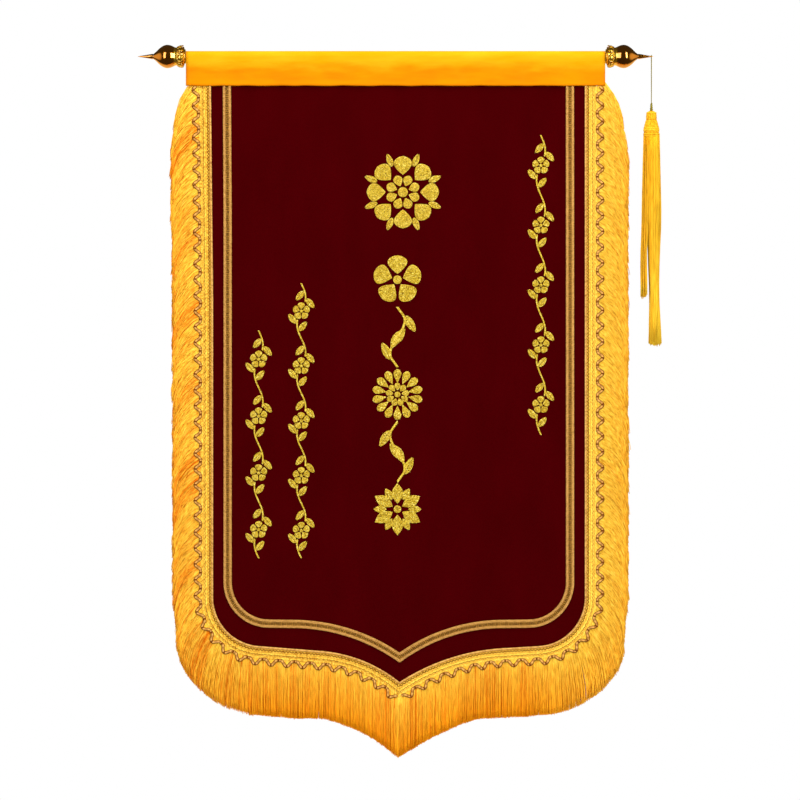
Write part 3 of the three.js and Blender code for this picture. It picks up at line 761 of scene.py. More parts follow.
def make_heading(name, row, thread_material, edge_material, dark_material):
    """The woven strip of one half of the fringe, its edge cord and two rows of zigzag thread."""
    rng = np.random.default_rng(SEED + 1)
    count = int(trim_line(row, HEADING["from"], 1).total / HEADING["stitch"])
    reaches = np.linspace(HEADING["from"], HEADING["to"], HEADING["lanes"] + 1)
    edges = [trim_edge(row, reach, count) for reach in reaches]
    starts, ends = [], []
    for k, (inner, outer) in enumerate(zip(edges, edges[1:])):
        starts.append(inner[:-1] if k % 2 else inner[1:])
        ends.append(outer[1:] if k % 2 else outer[:-1])
    starts, ends = (raised(np.concatenate(rows), ON_PANEL - HEADING["lift"]) for rows in (starts, ends))
    stitches = threads(starts, ends, HEADING["stitch"] * 1.02, HEADING["rise"])
    # Painted light: the heading's threads are paler on the right side, as if lit more.
    tone = np.clip(rng.uniform(*HEADING["tones"], len(starts)) + PAINTED_SIDE_LIGHT[row["side"]], 0, 1)
    tone = np.repeat(tone, THREAD_POINTS)
    base = ribbon(row, HEADING["from"] - 1.5, HEADING["to"] + 1, ON_PANEL, HEADING["strip"])
    shape = together(stitches, base)
    facts = yarn_facts(shape, np.concatenate([tone, np.full(len(base[0]), 0.4)]), 0.1, rng)
    weave = make_sewn(f"heading_weave_{name}", shape, thread_material, "fringe_yarn", facts)
    rope = twisted_cord(trim_line(row, EDGE_CORD["at"], 1), ON_PANEL - 1.0, EDGE_CORD["radius"],
                        EDGE_CORD["twist"], row["side"])
    facts = {"tone": thread_tones(rng, 0.2, 1, rope)}
    edge = make_sewn(f"heading_edge_{name}", rope, edge_material, "fringe_yarn", facts)
    chains = together(*[zigzag(row, **chain) for chain in CHAINS])
    facts = {"tone": np.full(len(chains[0]), 0.4)}
    return [weave, edge, make_piece(f"heading_chains_{name}", *chains, dark_material, "wave_cord", facts)]


def zigzag(row, at, reach, pitch, radius):
    """A thread sewn from side to side along a trim."""
    line = trim_line(row, at, pitch / 4)
    swing = reach * np.tile([0, 1, 0, -1], len(line.x) // 4 + 1)[:len(line.x)]
    path = np.column_stack([line.x + line.out_x * swing, line.z + line.out_z * swing])
    return tubes(on_cloth(raised(path, ON_PANEL - 1.2))[None], radius, 4)


def raised(flat, y):
    """Flat pairs of x and z as points that all have one depth."""
    return np.stack([flat[..., 0], np.full(flat.shape[:-1], y), flat[..., 1]], axis=-1)


def yarn_facts(shape, tone, along, rng):
    """What the yarn's material reads, for a shape without strands of its own."""
    count = len(shape[0])
    x, z = shape[0][:, 0], shape[0][:, 2]
    return {"tone": tone, "along": np.full(count, along), "lane": z * 0.45 + x * 0.3,
            "curl": x * 0.4 + rng.uniform(0, 0.2, count), "painted_streaks": np.full(count, 0.7)}


def ribbon(row, inner, outer, back, thick, count=260):
    """A closed flat strip between two distances outwards from a trim's line."""
    rings = []
    for reach, y in ((inner, back), (outer, back), (outer, back - thick), (inner, back - thick)):
        edge = trim_edge(row, reach, count)
        rings.append(np.column_stack([edge[:, 0], np.full(count, y), edge[:, 1]]))
    points = np.stack(rings, axis=1)
    index = np.arange(count * 4).reshape(count, 4)
    return points.reshape(-1, 3), *tube_faces(index if row["side"] < 0 else index[:, ::-1])


def twisted_cord(line, middle, radius, twist, side):
    """A round cord of two plies, as a row of slanting threads."""
    count = int(line.total / (twist / 2))
    at = (np.arange(count) + 0.5) / count * line.total
    x, z = np.interp(at, line.along, line.x), np.interp(at, line.along, line.z)
    out_x, out_z = np.interp(at, line.along, line.out_x), np.interp(at, line.along, line.out_z)
    along_x, along_z = side * -out_z, side * out_x
    reach, slip = radius * 0.95, twist * 0.62
    y = np.full(count, middle)
    start = np.column_stack([x - out_x * reach - along_x * slip, y, z - out_z * reach - along_z * slip])
    end = np.column_stack([x + out_x * reach + along_x * slip, y, z + out_z * reach + along_z * slip])
    return threads(start, end, twist * 0.95, radius * 0.35)


def make_wave(name, row, pale_material, dark_material):
    """A double cord sewn in waves over the roots of the fringe, with a dark thread on each side as its
    painted shadow.
    """
    line = trim_line(row, WAVE["middle"], WAVE["pitch"] / WAVE["steps"])
    waves = round(line.total / WAVE["pitch"])
    phase = 2 * np.pi * line.along / line.total * waves
    swing = np.sin(phase) - 0.2 * np.cos(2 * phase) + 0.06 * np.sin(3 * phase)
    x = line.x + line.out_x * WAVE["reach"] * swing
    z = line.z + line.out_z * WAVE["reach"] * swing
    keep = row["side"] * (x - row["point_x"]) > WAVE["clear"]
    x, z = x[keep], z[keep]
    run_x, run_z = np.gradient(x), np.gradient(z)
    size = np.hypot(run_x, run_z)
    across = np.column_stack([-run_z / size, run_x / size])
    middle = np.column_stack([x, z])
    radius, outline = WAVE["radius"], WAVE["outline"]

    def beside(reach, y):
        return on_cloth(raised(middle + across * reach, y))

    apart = 2 * radius + outline * 0.6
    cords = np.stack([beside(side * radius * 0.95, ON_HEADING - WAVE["lift"]) for side in (-1, 1)])
    # Painted shadow: dark brown threads beside the pale cord stand for its shade, thicker at the outer bends.
    dark = np.stack([beside(side * apart, ON_HEADING - WAVE["painted_shadow_lift"]) for side in (-1, 1)])
    pale = tubes(cords, radius, 6)
    steps = np.tile(np.repeat(np.arange(len(x)), 6), 2)
    facts = {"tone": 0.5 + 0.5 * np.sin(2 * np.pi * steps / WAVE["ply"])}
    thing = make_piece(f"wave_cord_{name}", *pale, pale_material, "wave_cord", facts)
    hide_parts(f"wave_{name}")
    peaks = np.flatnonzero(np.diff(np.sign(np.diff(swing[keep]))) < 0) + 1
    reach = across[peaks] * WAVE["tie"]
    ties = threads(on_cloth(raised(middle[peaks] - reach, ON_HEADING - 0.5)),
                   on_cloth(raised(middle[peaks] + reach, ON_HEADING - 0.5)), WAVE["tie_width"], 1.0)
    edging = together(tubes(dark, outline * (0.95 + 0.35 * swing[keep])[None, :], 4), ties)
    facts = {"tone": np.full(len(edging[0]), 0.4)}
    return [thing, make_piece(f"wave_outline_{name}", *edging, dark_material, "wave_cord", facts)]


def strand_paths(row, layer, rng):
    """Middles of the strands of one layer of fringe, in bundles that lean a little differently."""
    line = trim_line(row, STRAND["root"], layer["pitch"], TOP_STRANDS["z"])
    count, places, loose = len(line.x), layer["places"], layer["loose"]
    edges = np.cumsum(rng.uniform(BUNDLE["least"], BUNDLE["most"], int(line.total / BUNDLE["least"])))
    bundle = np.searchsorted(edges, line.along)
    middles = edges - np.diff(edges, prepend=0) / 2
    own = np.clip(rng.normal(0, 1, (5, len(edges) + 1)), -1.5, 1.5)
    from_top = np.clip((line.along + rng.normal(0, 0.3, count)) / TOP_STRANDS["reach"], 0, 1)
    is_side = row["side"] * line.x > row["corner"]
    outwards = np.where(is_side, np.clip(line.out_x * row["side"], 0, 1), 0)
    settled = np.clip((row["corner_z"] + STRAND["settles"] - line.z) / STRAND["settles"], 0, 1)
    slant = mix(TOP_STRANDS["slant"], STRAND["slant"], from_top) * outwards ** STRAND["fade"]
    slant = slant * mix(1, STRAND["settled"], settled)
    slant = slant + loose * BUNDLE["slant"] * own[0][bundle] * mix(0.2, 1, outwards)
    slant = slant + rng.normal(0, layer["stray"], count)
    reaches, lengths = np.transpose(STRAND_LENGTHS)
    length = np.interp(np.abs(line.x), reaches, lengths)
    below_top = mix(1, row["side_length"], outwards ** 2)
    length = length * mix(TOP_STRANDS["length"][row["side"]], below_top, from_top)
    is_corner = 4 * outwards * (1 - outwards)
    length = length + mix(BUNDLE["length"], BUNDLE["corner_length"], is_corner) * own[1][bundle]
    length = length + rng.normal(0, 0.3, count)
    share = np.linspace(0, 1, places)
    middle_share = (share[1:] + share[:-1]) / 2
    angle = np.radians(slant[:, None] * mix(STRAND["at_root"], STRAND["at_tip"], middle_share)[None, :])
    step = length[:, None] / (places - 1)
    across = np.concatenate([np.zeros((count, 1)), np.cumsum(step * np.sin(angle), axis=1)], axis=1)
    fall = np.concatenate([np.zeros((count, 1)), np.cumsum(step * np.cos(angle), axis=1)], axis=1)
    swing = mix(CRIMP["hem"], CRIMP["side"], outwards)[:, None] * loose * np.minimum(1, share * 4)[None, :]
    turns = 2 * np.pi * length[:, None] / CRIMP["length"] * share[None, :] + own[4][bundle][:, None] * 2
    across = across + swing * np.sin(turns + rng.normal(0, 0.35, (count, 1)))
    pull = (middles[np.minimum(bundle, len(edges) - 1)] - line.along) * loose
    pull = pull * mix(BUNDLE["hem_pull"], BUNDLE["pull"], outwards)
    gather = pull[:, None] * share[None, :] ** 1.4
    x = line.x[:, None] + row["side"] * (across - np.abs(line.out_z)[:, None] * gather)
    z = line.z[:, None] - fall
    depth = mix(layer["root"], layer["tip"], share ** 0.8)[None, :]
    lift = loose * (BUNDLE["depth"] * own[2][bundle] + rng.normal(0, 0.25, count))
    depth = depth + lift[:, None] * share[None, :]
    limit = row["point_x"] + row["side"] * 0.2
    x = np.maximum(x, limit) if row["side"] > 0 else np.minimum(x, limit)
    drift = sum(size * np.sin(line.along / run + shift) for size, run, shift in TONES["waves"])
    # Painted light: the yarn on the right side is paler, as if more light fell on it.
    pale = mix(PAINTED_SIDE_LIGHT["hem"], PAINTED_SIDE_LIGHT[row["side"]], outwards)
    tone = pale + drift * outwards + TONES["bundle"] * own[3][bundle] + rng.normal(0, TONES["strand"], count)
    pitch = mix(STREAK_SHADE["hem_pitch"], STREAK_SHADE["side_pitch"], outwards)
    curl = length[:, None] * share[None, :] / pitch[:, None] + own[4][bundle][:, None]
    facts = {
        "tone": np.broadcast_to(np.clip(tone, 0, 1)[:, None], x.shape),
        "along": share[None, :] ** 0.65 * mix(1, 0.55, outwards)[:, None],
        "lane": np.broadcast_to(line.along[:, None] / 2.2 + layer["root"] * 37, x.shape),
        "curl": curl,
        "painted_streaks": np.broadcast_to(mix(STREAK_SHADE["hem"], STREAK_SHADE["side"], outwards)[:, None], x.shape),
    }
    return on_cloth(np.stack([x, np.broadcast_to(depth, x.shape), z], axis=-1)), facts, share


def make_strands(name, row, material):
    """The yarns of one half of the fringe: thick plain ones under finer loose ones."""
    rng = np.random.default_rng(SEED + (3 if row["side"] < 0 else 4))
    sides = 3
    made = []
    for level, layers in LAYERS.items():
        shapes, facts = [], []
        for layer in layers:
            paths, own, share = strand_paths(row, layer, rng)
            radii = layer["radius"] * np.where(share > 0.97, 0.75, 1.0)[None, :]
            radii = radii * rng.uniform(0.85, 1.15, (len(paths), 1))
            shapes.append(tubes(paths, radii, sides))
            facts.append({key: np.repeat(values.ravel(), sides) for key, values in own.items()})
        facts = {key: np.concatenate([own[key] for own in facts]) for key in facts[0]}
        made.append(make_piece(f"strands_{level}_{name}", *together(*shapes), material, "fringe_yarn", facts))
    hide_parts(f"fringe_{name}")
    return made


# The border braid

def make_border(pale_material, deep_material):
    """The braid: two cords along each edge, chevrons between them and knots down the middle."""
    rng = np.random.default_rng(SEED + 6)
    edges, chevrons, knots, bases = [], [], [], []
    for row in BORDER_LINE.values():
        for reach in BORDER["edges"]:
            line = trim_line(row, reach, 1)
            edges.append(twisted_cord(line, ON_PANEL - 0.75, BORDER["edge_radius"], BORDER["edge_twist"],
                                      row["side"]))
        line = trim_line(row, 0, BORDER["chevron"])
        along_x, along_z = row["side"] * -line.out_z, row["side"] * line.out_x
        for way in (-1, 1):
            middle = np.column_stack([line.x, np.full_like(line.x, ON_PANEL - 0.55), line.z])
            tip = middle.copy()
            tip[:, 0] += way * line.out_x * BORDER["chevron_half"] - along_x * BORDER["chevron_lean"]
            tip[:, 2] += way * line.out_z * BORDER["chevron_half"] - along_z * BORDER["chevron_lean"]
            chevrons.append(threads(middle, tip, BORDER["chevron_wide"], 0.4))
        line = trim_line(row, 0, BORDER["knot"])
        half = np.column_stack([line.out_x, np.zeros_like(line.x), line.out_z]) * BORDER["knot_half"]
        middle = np.column_stack([line.x, np.full_like(line.x, ON_PANEL - 1.0), line.z])
        knots.append(threads(middle - half, middle + half, BORDER["knot_wide"], 0.3))
        bases.append(ribbon(row, -BORDER["half"] + 0.4, BORDER["half"] - 0.4, ON_PANEL, 0.45))
    shape = together(*edges)
    facts = {"tone": thread_tones(rng, 0.25, 1, shape)}
    thing = make_sewn("border_edges", shape, pale_material, "border_braid", facts)
    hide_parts("inner_braid")
    stitched = together(*chevrons)
    shape = together(stitched, *knots, *bases)
    tone = np.concatenate([thread_tones(rng, 0.3, 0.9, stitched),
                           np.zeros(len(shape[0]) - len(stitched[0]))])
    chevron = make_sewn("border_chevrons", shape, deep_material, "border_braid", {"tone": tone})
    return [thing, chevron]


# The embroidery, drawn flat as pairs of x and z

def turned(points, turn):
    angle = np.radians(turn)
    return points @ np.array([[np.cos(angle), np.sin(angle)], [-np.sin(angle), np.cos(angle)]])


def petal_half(width, fullest, blunt):
    """How far a petal reaches to one side, from its root to its tip."""
    share = np.linspace(0, 1, 25)
    return share, width / 2 * np.abs(np.sin(np.pi * share ** (np.log(0.5) / np.log(fullest)))) ** blunt


def petal(root, turn, length, width, fullest=0.6, blunt=0.75):
    """The outline of a petal that grows from its root, and the way its stitches run."""
    share, half = petal_half(width, fullest, blunt)
    right = np.column_stack([share * length, -half])
    left = np.column_stack([share * length, half])[::-1]
    return turned(np.concatenate([right, left[1:-1]]), turn) + root, turn


def leaf(root, turn, length, width):
    """The two halves of a leaf, each sewn at a slant towards the vein between them."""
    share, half = petal_half(width, 0.45, 0.85)
    halves = []
    for side in (-1, 1):
        edge = np.column_stack([share * length, side * (STITCH["vein"] / 2 + half)])
        vein = np.column_stack([share * length, np.full(len(share), side * STITCH["vein"] / 2)])[::-1]
        halves.append((turned(np.concatenate([edge, vein]), turn) + root, turn + side * STITCH["leaf_slant"]))
    return halves


def disc(middle, radius, lean=45):
    turns = np.linspace(0, 2 * np.pi, 36, endpoint=False)
    return [(middle + radius * np.column_stack([np.cos(turns), np.sin(turns)]), lean)]


def petals_round(middle, count, inner, outer, width, turn=90, **form):
    """Petals, equally spaced round a middle."""
    fields = []
    for k in range(count):
        angle = turn + 360 * k / count
        root = middle + turned(np.array([[inner, 0]]), angle)[0]
        fields.append(petal(root, angle, outer - inner, width, **form))
    return fields


def leaves_round(middle, count, inner, outer, width, turn):
    fields = []
    for k in range(count):
        angle = turn + 360 * k / count
        root = middle + turned(np.array([[inner, 0]]), angle)[0]
        fields += leaf(root, angle, outer - inner, width)
    return fields


def smooth_path(places, step=0.6):
    """A smooth line by way of a few places, as equally spaced points."""
    path = np.array(places, float)
    for _ in range(5):
        near, far = mix(path[:-1], path[1:], 0.25), mix(path[:-1], path[1:], 0.75)
        path = np.concatenate([path[:1], np.stack([near, far], axis=1).reshape(-1, 2), path[-1:]])
    return walked(path, np.arange(0, distances(path)[-1], step))


def filled(outline, lean):
    """Parallel stitches that fill an outline, set like bricks where one would be too long."""
    flat = turned(outline, -lean)
    after = np.roll(flat, -1, axis=0)
    spacing, longest = STITCH["spacing"], STITCH["longest"]
    rows = []
    for k, level in enumerate(np.arange(flat[:, 1].min() + spacing / 2, flat[:, 1].max(), spacing)):
        crossing = (flat[:, 1] > level) != (after[:, 1] > level)
        a, b = flat[crossing], after[crossing]
        ends = np.sort(a[:, 0] + (level - a[:, 1]) / (b[:, 1] - a[:, 1]) * (b[:, 0] - a[:, 0]))
        for left, right in zip(ends[::2], ends[1::2]):
            pieces = int(np.ceil((right - left) / longest))
            cuts = left + (right - left) / pieces * (np.arange(1, pieces + 1) - k % 3 / 3)
            cuts = cuts[(cuts > left + 1) & (cuts < right - 1)]
            cuts = np.concatenate([[left], cuts, [right]])
            rows += [(start, end, level) for start, end in zip(cuts[:-1], cuts[1:])]
    rows = np.array(rows)
    return turned(rows[:, [0, 2]], lean), turned(rows[:, [1, 2]], lean)


def satin_stem(path, width):
    """Short slanting stitches side by side along a line."""
    along = unit(np.gradient(path, axis=0))
    across = np.column_stack([-along[:, 1], along[:, 0]]) * width / 2
    slip = along * width * 0.45
    return path - across - slip, path + across + slip


def closed_line(outline, count=22):
    ring = np.concatenate([outline, outline[:1]])
    return walked(ring, np.linspace(0, distances(ring)[-1], count + 1))


def sew(name, fields, stems, material, rng):
    """A motif: fields filled with stitches and edged with a laid thread, and stems in satin stitch."""
    rows = [filled(outline, lean) for outline, lean in fields] + [satin_stem(*stem) for stem in stems]
    starts = raised(np.concatenate([row[0] for row in rows]), FRONT - STITCH["lift"])
    ends = raised(np.concatenate([row[1] for row in rows]), FRONT - STITCH["lift"])
    stitches = threads(starts, ends, STITCH["spacing"] * 1.3, STITCH["rise"])
    lines = np.array([closed_line(outline) for outline, _ in fields])
    edging = tubes(raised(lines, FRONT - STITCH["edge"]), STITCH["edge"], 3)
    shape = together(stitches, edging)
    tone = np.concatenate([thread_tones(rng, 0, 1, stitches), np.full(len(edging[0]), 0.8)])
    return make_sewn(name, shape, material, "border_braid", {"tone": tone})


def rosette(middle):
    """A round emblem: two rings of petals, with small leaves between the outer ones."""
    fields = petals_round(middle, 8, 22.5, 46.5, 23, fullest=0.62, blunt=0.62)
    fields += leaves_round(middle, 8, 36, 53, 6.5, 112.5)
    fields += petals_round(middle, 8, 8.5, 22.5, 11.5, turn=112.5, fullest=0.6, blunt=0.65)
    return fields + disc(middle, 6.2)


def cherry_blossom(middle, size):
    fields = petals_round(middle, 5, 0.24 * size, size, 0.8 * size, fullest=0.64, blunt=0.6)
    return fields + disc(middle, 0.17 * size)


def chrysanthemum(middle, size):
    fields = petals_round(middle, 14, 0.45 * size, size, 0.29 * size, fullest=0.68, blunt=0.6)
    fields += petals_round(middle, 9, 0.17 * size, 0.46 * size, 0.22 * size, fullest=0.62, blunt=0.6)
    return fields + disc(middle, 0.11 * size)


def water_lily(middle, size):
    fields = petals_round(middle, 6, 0.22 * size, size, 0.42 * size, fullest=0.5, blunt=0.95)
    fields += petals_round(middle, 6, 0.42 * size, 0.92 * size, 0.26 * size, turn=120,
                           fullest=0.5, blunt=0.95)
    return fields + disc(middle, 0.14 * size)


def spray(x, tops):
    """Three large blossoms under each other on a winding stem, with leaves between them."""
    middles = [np.array([x, z]) for z in tops]
    fields = cherry_blossom(middles[0], SPRAY["size"])
    fields += chrysanthemum(middles[1], SPRAY["size"] * 1.04)
    fields += water_lily(middles[2], SPRAY["size"] * 1.06)
    stems = []
    for upper, lower, side in ((middles[0], middles[1], 1), (middles[1], middles[2], -1)):
        gap = SPRAY["size"] + 4
        start, end = upper - (0, gap), lower + (0, gap)
        bend = SPRAY["bend"] * side
        path = smooth_path([start, mix(start, end, 0.25) + (bend, 0), mix(start, end, 0.75) - (bend, 0), end])
        stems.append((path, SPRAY["stem"]))
        for share, way, turn in ((0.16, side, -58), (0.4, -side, -64), (0.62, side, 58), (0.86, -side, 64)):
            root = path[int(share * len(path))] + (way * 2.2, 0)
            angle = turn if way > 0 else 180 - turn
            fields += leaf(root, angle, SPRAY["leaf"], SPRAY["leaf"] * 0.38)
    return fields, stems


def vine(x, top, foot):
    """A slender stem that winds down a column, with small blossoms on it and leaves between them."""
    count = int(round((top - foot) / VINE["pitch"]))
    pitch = (top - foot) / count
    z = np.arange(top, foot, -0.6)
    blossoms = top - (np.arange(count) + 0.5) * pitch
    swing = VINE["swing"] * np.sin(2 * np.pi * (top - z) / pitch)
    clear = np.abs(z[:, None] - blossoms[None, :]).min(axis=1) > VINE["blossom"] + 1
    stems, fields = [], []
    for run in np.split(np.arange(len(z)), np.flatnonzero(np.diff(clear)) + 1):
        if clear[run[0]]:
            stems.append((np.column_stack([x + swing[run], z[run]]), VINE["stem"]))
    for middle_z in blossoms:
        fields += cherry_blossom(np.array([x, middle_z]), VINE["blossom"])
        for below, side in ((-0.36, -1), (-0.22, 1), (0.22, -1), (0.36, 1)):
            at = middle_z - below * pitch
            root = np.array([x + VINE["swing"] * np.sin(2 * np.pi * (top - at) / pitch) + side * 1.4, at])
            angle = -50 if below < 0 else 50
            fields += leaf(root, angle if side > 0 else 180 - angle, VINE["leaf"], VINE["leaf"] * 0.42)
    return fields, stems


def make_embroidery(material):
    rng = np.random.default_rng(SEED + 12)
    sewn = [sew("embroidered_rosette", rosette(np.array(ROSETTE)), [], material, rng)]
    sewn.append(sew("embroidered_spray", *spray(SPRAY["x"], SPRAY["blossoms"]), material, rng))
    for name, row in VINES.items():
        sewn.append(sew(f"embroidered_vine_{name}", *vine(*row), material, rng))
    return sewn


# The finials

def make_finial(name, foot, way, material):
    """A turned finial, extruded ring by ring along the rod, with arched leaves round its collar."""
    bpy.ops.object.select_all(action="DESELECT")
    mouth = foot + way * FINIAL_OUTLINE[0][0]
    bpy.ops.mesh.primitive_circle_add(vertices=FINIAL["sides"], radius=FINIAL_OUTLINE[0][1] * MM,
                                      location=(mouth * MM, 0, 0), rotation=(0, np.pi / 2, 0))
    body = bpy.context.active_object
    body.name = name
    bpy.ops.object.transform_apply(location=True, rotation=True, scale=True)
    bpy.ops.object.mode_set(mode="EDIT")
    bpy.ops.mesh.select_all(action="SELECT")
    for (before, radius), (along, wider) in zip(FINIAL_OUTLINE, FINIAL_OUTLINE[1:]):
        step = (way * (along - before) * MM, 0, 0)
        bpy.ops.mesh.extrude_region_move(TRANSFORM_OT_translate={"value": step})
        bpy.ops.transform.resize(value=(1, wider / radius, wider / radius))
    bpy.ops.mesh.edge_face_add()
    bpy.ops.object.mode_set(mode="OBJECT")
    close_mouth(body, mouth, way)
    leaves = make_leaves(foot, way)
    bpy.ops.object.select_all(action="DESELECT")
    for piece in leaves:
        piece.select_set(True)
    body.select_set(True)
    bpy.context.view_layer.objects.active = body
    bpy.ops.object.join()
    bpy.ops.object.mode_set(mode="EDIT")
    bpy.ops.mesh.select_all(action="SELECT")
    bpy.ops.mesh.normals_make_consistent(inside=False)
    bpy.ops.object.mode_set(mode="OBJECT")
    bpy.ops.object.shade_smooth_by_angle(angle=np.radians(50))
    body.data.materials.clear()
    body.data.materials.append(material)
    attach(body, "root")
    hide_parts(name.replace("gilt_", ""))


def close_mouth(body, mouth, way):
    """Closes the collar's mouth down to the socket that holds the rod."""
    bpy.ops.object.mode_set(mode="EDIT")
    bpy.ops.mesh.select_all(action="DESELECT")
    bpy.ops.object.mode_set(mode="OBJECT")
    for vertex in body.data.vertices:
        vertex.select = abs(vertex.co.x - mouth * MM) < 1e-6
    bpy.ops.object.mode_set(mode="EDIT")
    bpy.ops.mesh.select_mode(type="VERT")
    bpy.ops.mesh.extrude_region_move(TRANSFORM_OT_translate={"value": (0, 0, 0)})
    share = (ROD_RADIUS + 0.3) / FINIAL_OUTLINE[0][1]
    bpy.ops.transform.resize(value=(1, share, share))
    bpy.ops.mesh.extrude_region_move(TRANSFORM_OT_translate={"value": (way * FINIAL["socket"] * MM, 0, 0)})
    bpy.ops.mesh.edge_face_add()
    bpy.ops.object.mode_set(mode="OBJECT")


def make_leaves(foot, way):
    """Leaves round the collar, each a raised rim about a low boss, with its free end turned out."""
    place = ((foot + way * LEAF["along"]) * MM, 0, LEAF["out"] * MM)
    tilt = (0, way * np.radians(LEAF["tilt"]), 0)
    bpy.ops.mesh.primitive_uv_sphere_add(segments=20, ring_count=12, radius=LEAF["rim"] * MM, location=place,
                                         rotation=tilt)
    boss = bpy.context.active_object
    boss.scale = (LEAF["boss"], LEAF["boss"] * LEAF["broad"], LEAF["boss_height"])
    bpy.ops.mesh.primitive_torus_add(major_segments=32, minor_segments=8, major_radius=LEAF["rim"] * MM,
                                     minor_radius=LEAF["wire"] * MM, location=place, rotation=tilt)
    rim = bpy.context.active_object
    rim.scale = (1, LEAF["broad"], 1)
    boss.select_set(True)
    bpy.ops.object.join()
    leaves = [rim]
    for _ in range(LEAF["count"] - 1):
        bpy.ops.object.duplicate(linked=False)
        bpy.ops.transform.rotate(value=2 * np.pi / LEAF["count"], orient_axis="X", center_override=(0, 0, 0))
        leaves.append(bpy.context.active_object)
    return leaves


# The tassel and its cord

def loop_places():
    """The cord's route: up from the knot, over the spike and down again."""
    turn = np.pi * (1 - (np.arange(13) + 0.5) / 13)
    middle = LOOP["top"] - LOOP["turn"]
    over = [(LOOP["turn"] * np.cos(a), middle + LOOP["turn"] * np.sin(a)) for a in turn]
    down = [(-y, z) for y, z in reversed(LOOP_ROUTE)]
    return np.array([(HANG_X, y, z) for y, z in LOOP_ROUTE + over + down])


def make_loop(material):
    """The twisted cord from which the tassel hangs."""
    places = loop_places()
    length = distances(places)[-1]
    fine = np.linspace(0, length, LOOP["places"])
    path = walked(places, fine)
    path[1:-1] = (path[:-2] + 2 * path[1:-1] + path[2:]) / 4
    along = unit(np.gradient(path, axis=0))
    flat = np.array([1.0, 0, 0])
    up = np.cross(along, flat)
    sides = 8
    turns = 2 * np.pi * np.arange(sides) / sides
    twist = 2 * np.pi * fine / LOOP["twist"]
    radius = LOOP["radius"] * (0.86 + 0.14 * np.cos(2 * (turns[None, :] - twist[:, None])))
    ring = np.cos(turns)[None, :, None] * flat + np.sin(turns)[None, :, None] * up[:, None]
    ring = radius[..., None] * ring
    points = (path[:, None] + ring).reshape(-1, 3)
    index = np.arange(len(points)).reshape(len(path), sides)
    # Painted shade: the tone follows the plies' ridges, so the grooves between the plies are darker.
    facts = {"tone": 0.5 + 0.5 * np.cos(2 * (turns[None, :] - twist[:, None])).ravel(),
             "along": np.full(len(points), 0.4), "lane": points[:, 2] / 3, "curl": points[:, 1],
             "painted_streaks": np.full(len(points), 0.5)}
    walls, fans = tube_faces(index[:, ::-1])
    walls = np.roll(walls, 1, axis=1)
    thing = make_piece("tassel_loop", points, walls, fans, material, "twisted_cord", facts)
    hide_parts("tassel_cord")


def tassel_radius(z):
    heights = np.array([row[0] for row in TASSEL_OUTLINE])[::-1]
    radii = np.array([row[1] for row in TASSEL_OUTLINE])[::-1]
    return np.interp(z, heights, radii)


def make_tassel(yarn_material, knot_material, tie_material):
    """The head: a knot in the cord, a cap of gathered yarn, and the bands wound round it."""
    rng = np.random.default_rng(SEED + 9)
    yarns, sides = 46, 4
    z = np.linspace(TASSEL_OUTLINE[0][0], SKIRT["root"] - 2, 24)
    turn = 2 * np.pi * np.arange(yarns) / yarns
    radius = tassel_radius(z) - 0.5
    cover = tubes(np.stack([
        HANG_X + radius[None, :] * np.cos(turn)[:, None],
        radius[None, :] * np.sin(turn)[:, None],
        np.broadcast_to(z, (yarns, len(z))),
    ], axis=-1), np.maximum(0.25, radius[None, :] * np.pi / yarns * 1.15), sides)
    core = lathed(TASSEL_OUTLINE, 24, -0.9)
    shape = together(cover, core, *[band(*row) for row in TASSEL_BANDS])
    plain = len(shape[0]) - len(cover[0])
    tone = np.concatenate([np.repeat(rng.uniform(0.2, 0.8, yarns), len(z) * sides), np.full(plain, 0.7)])
    make_piece("tassel_head", *shape, yarn_material, "tassel_yarn", yarn_facts(shape, tone, 0.1, rng))
    shape = together(*[band(*row) for row in TASSEL_TIES])
    facts = yarn_facts(shape, np.full(len(shape[0]), 0.3), 0.5, rng)
    make_piece("tassel_ties", *shape, tie_material, "twisted_cord", facts)
    shape = wound_knot()
    facts = yarn_facts(shape, np.full(len(shape[0]), 0.5), 0.5, rng)
    make_piece("tassel_knot", *shape, knot_material, "twisted_cord", facts)
    make_skirt(yarn_material, rng)


def wound_knot():
    """The cord of the loop wound round itself above the head."""
    share = np.linspace(0, 1, 90)
    turn = 2 * np.pi * KNOT["turns"] * share
    wide = KNOT["radius"] * mix(KNOT["wide"], KNOT["slim"], share)
    coil = np.column_stack([
        HANG_X + wide * np.cos(turn), wide * np.sin(turn), mix(KNOT["foot"], KNOT["top"] - 1, share)])
    core = lathed([(KNOT["top"], 0.9), (KNOT["foot"], 1.6)], 16, 0)
    return together(tubes(coil[None], KNOT["yarn"], 8), core)


def lathed(outline, sides, grow):
    """A closed round solid at the tassel's place, from heights and radii."""
    turns = 2 * np.pi * np.arange(sides) / sides
    z = np.array([row[0] for row in outline])
    radius = np.maximum(0.2, np.array([row[1] for row in outline]) + grow)
    points = np.stack([
        HANG_X + radius[:, None] * np.cos(turns), radius[:, None] * np.sin(turns),
        np.broadcast_to(z[:, None], (len(z), sides))], axis=-1).reshape(-1, 3)
    index = np.arange(len(points)).reshape(len(z), sides)
    return points, *tube_faces(index)


def band(middle, reach, size):
    """A wound band: three turns of yarn round the tassel's head."""
    sides, around = 8, 40
    turns = 2 * np.pi * np.arange(around) / around
    rings = 2 * np.pi * np.arange(sides) / sides
    radius = reach + size * 0.6 * np.cos(rings)[None, :]
    z = middle + size * np.sin(rings)[None, :] + 0.12 * np.sin(turns * 9)[:, None]
    points = np.stack([
        HANG_X + radius * np.cos(turns)[:, None], radius * np.sin(turns)[:, None],
        np.broadcast_to(z, (around, sides))], axis=-1)
    index = np.arange(around * sides).reshape(around, sides)
    on, up = np.roll(index, -1, axis=0), np.roll(index, -1, axis=1)
    quads = np.stack([index, on, np.roll(on, -1, axis=1), up], axis=-1).reshape(-1, 4)
    return points.reshape(-1, 3), quads, []


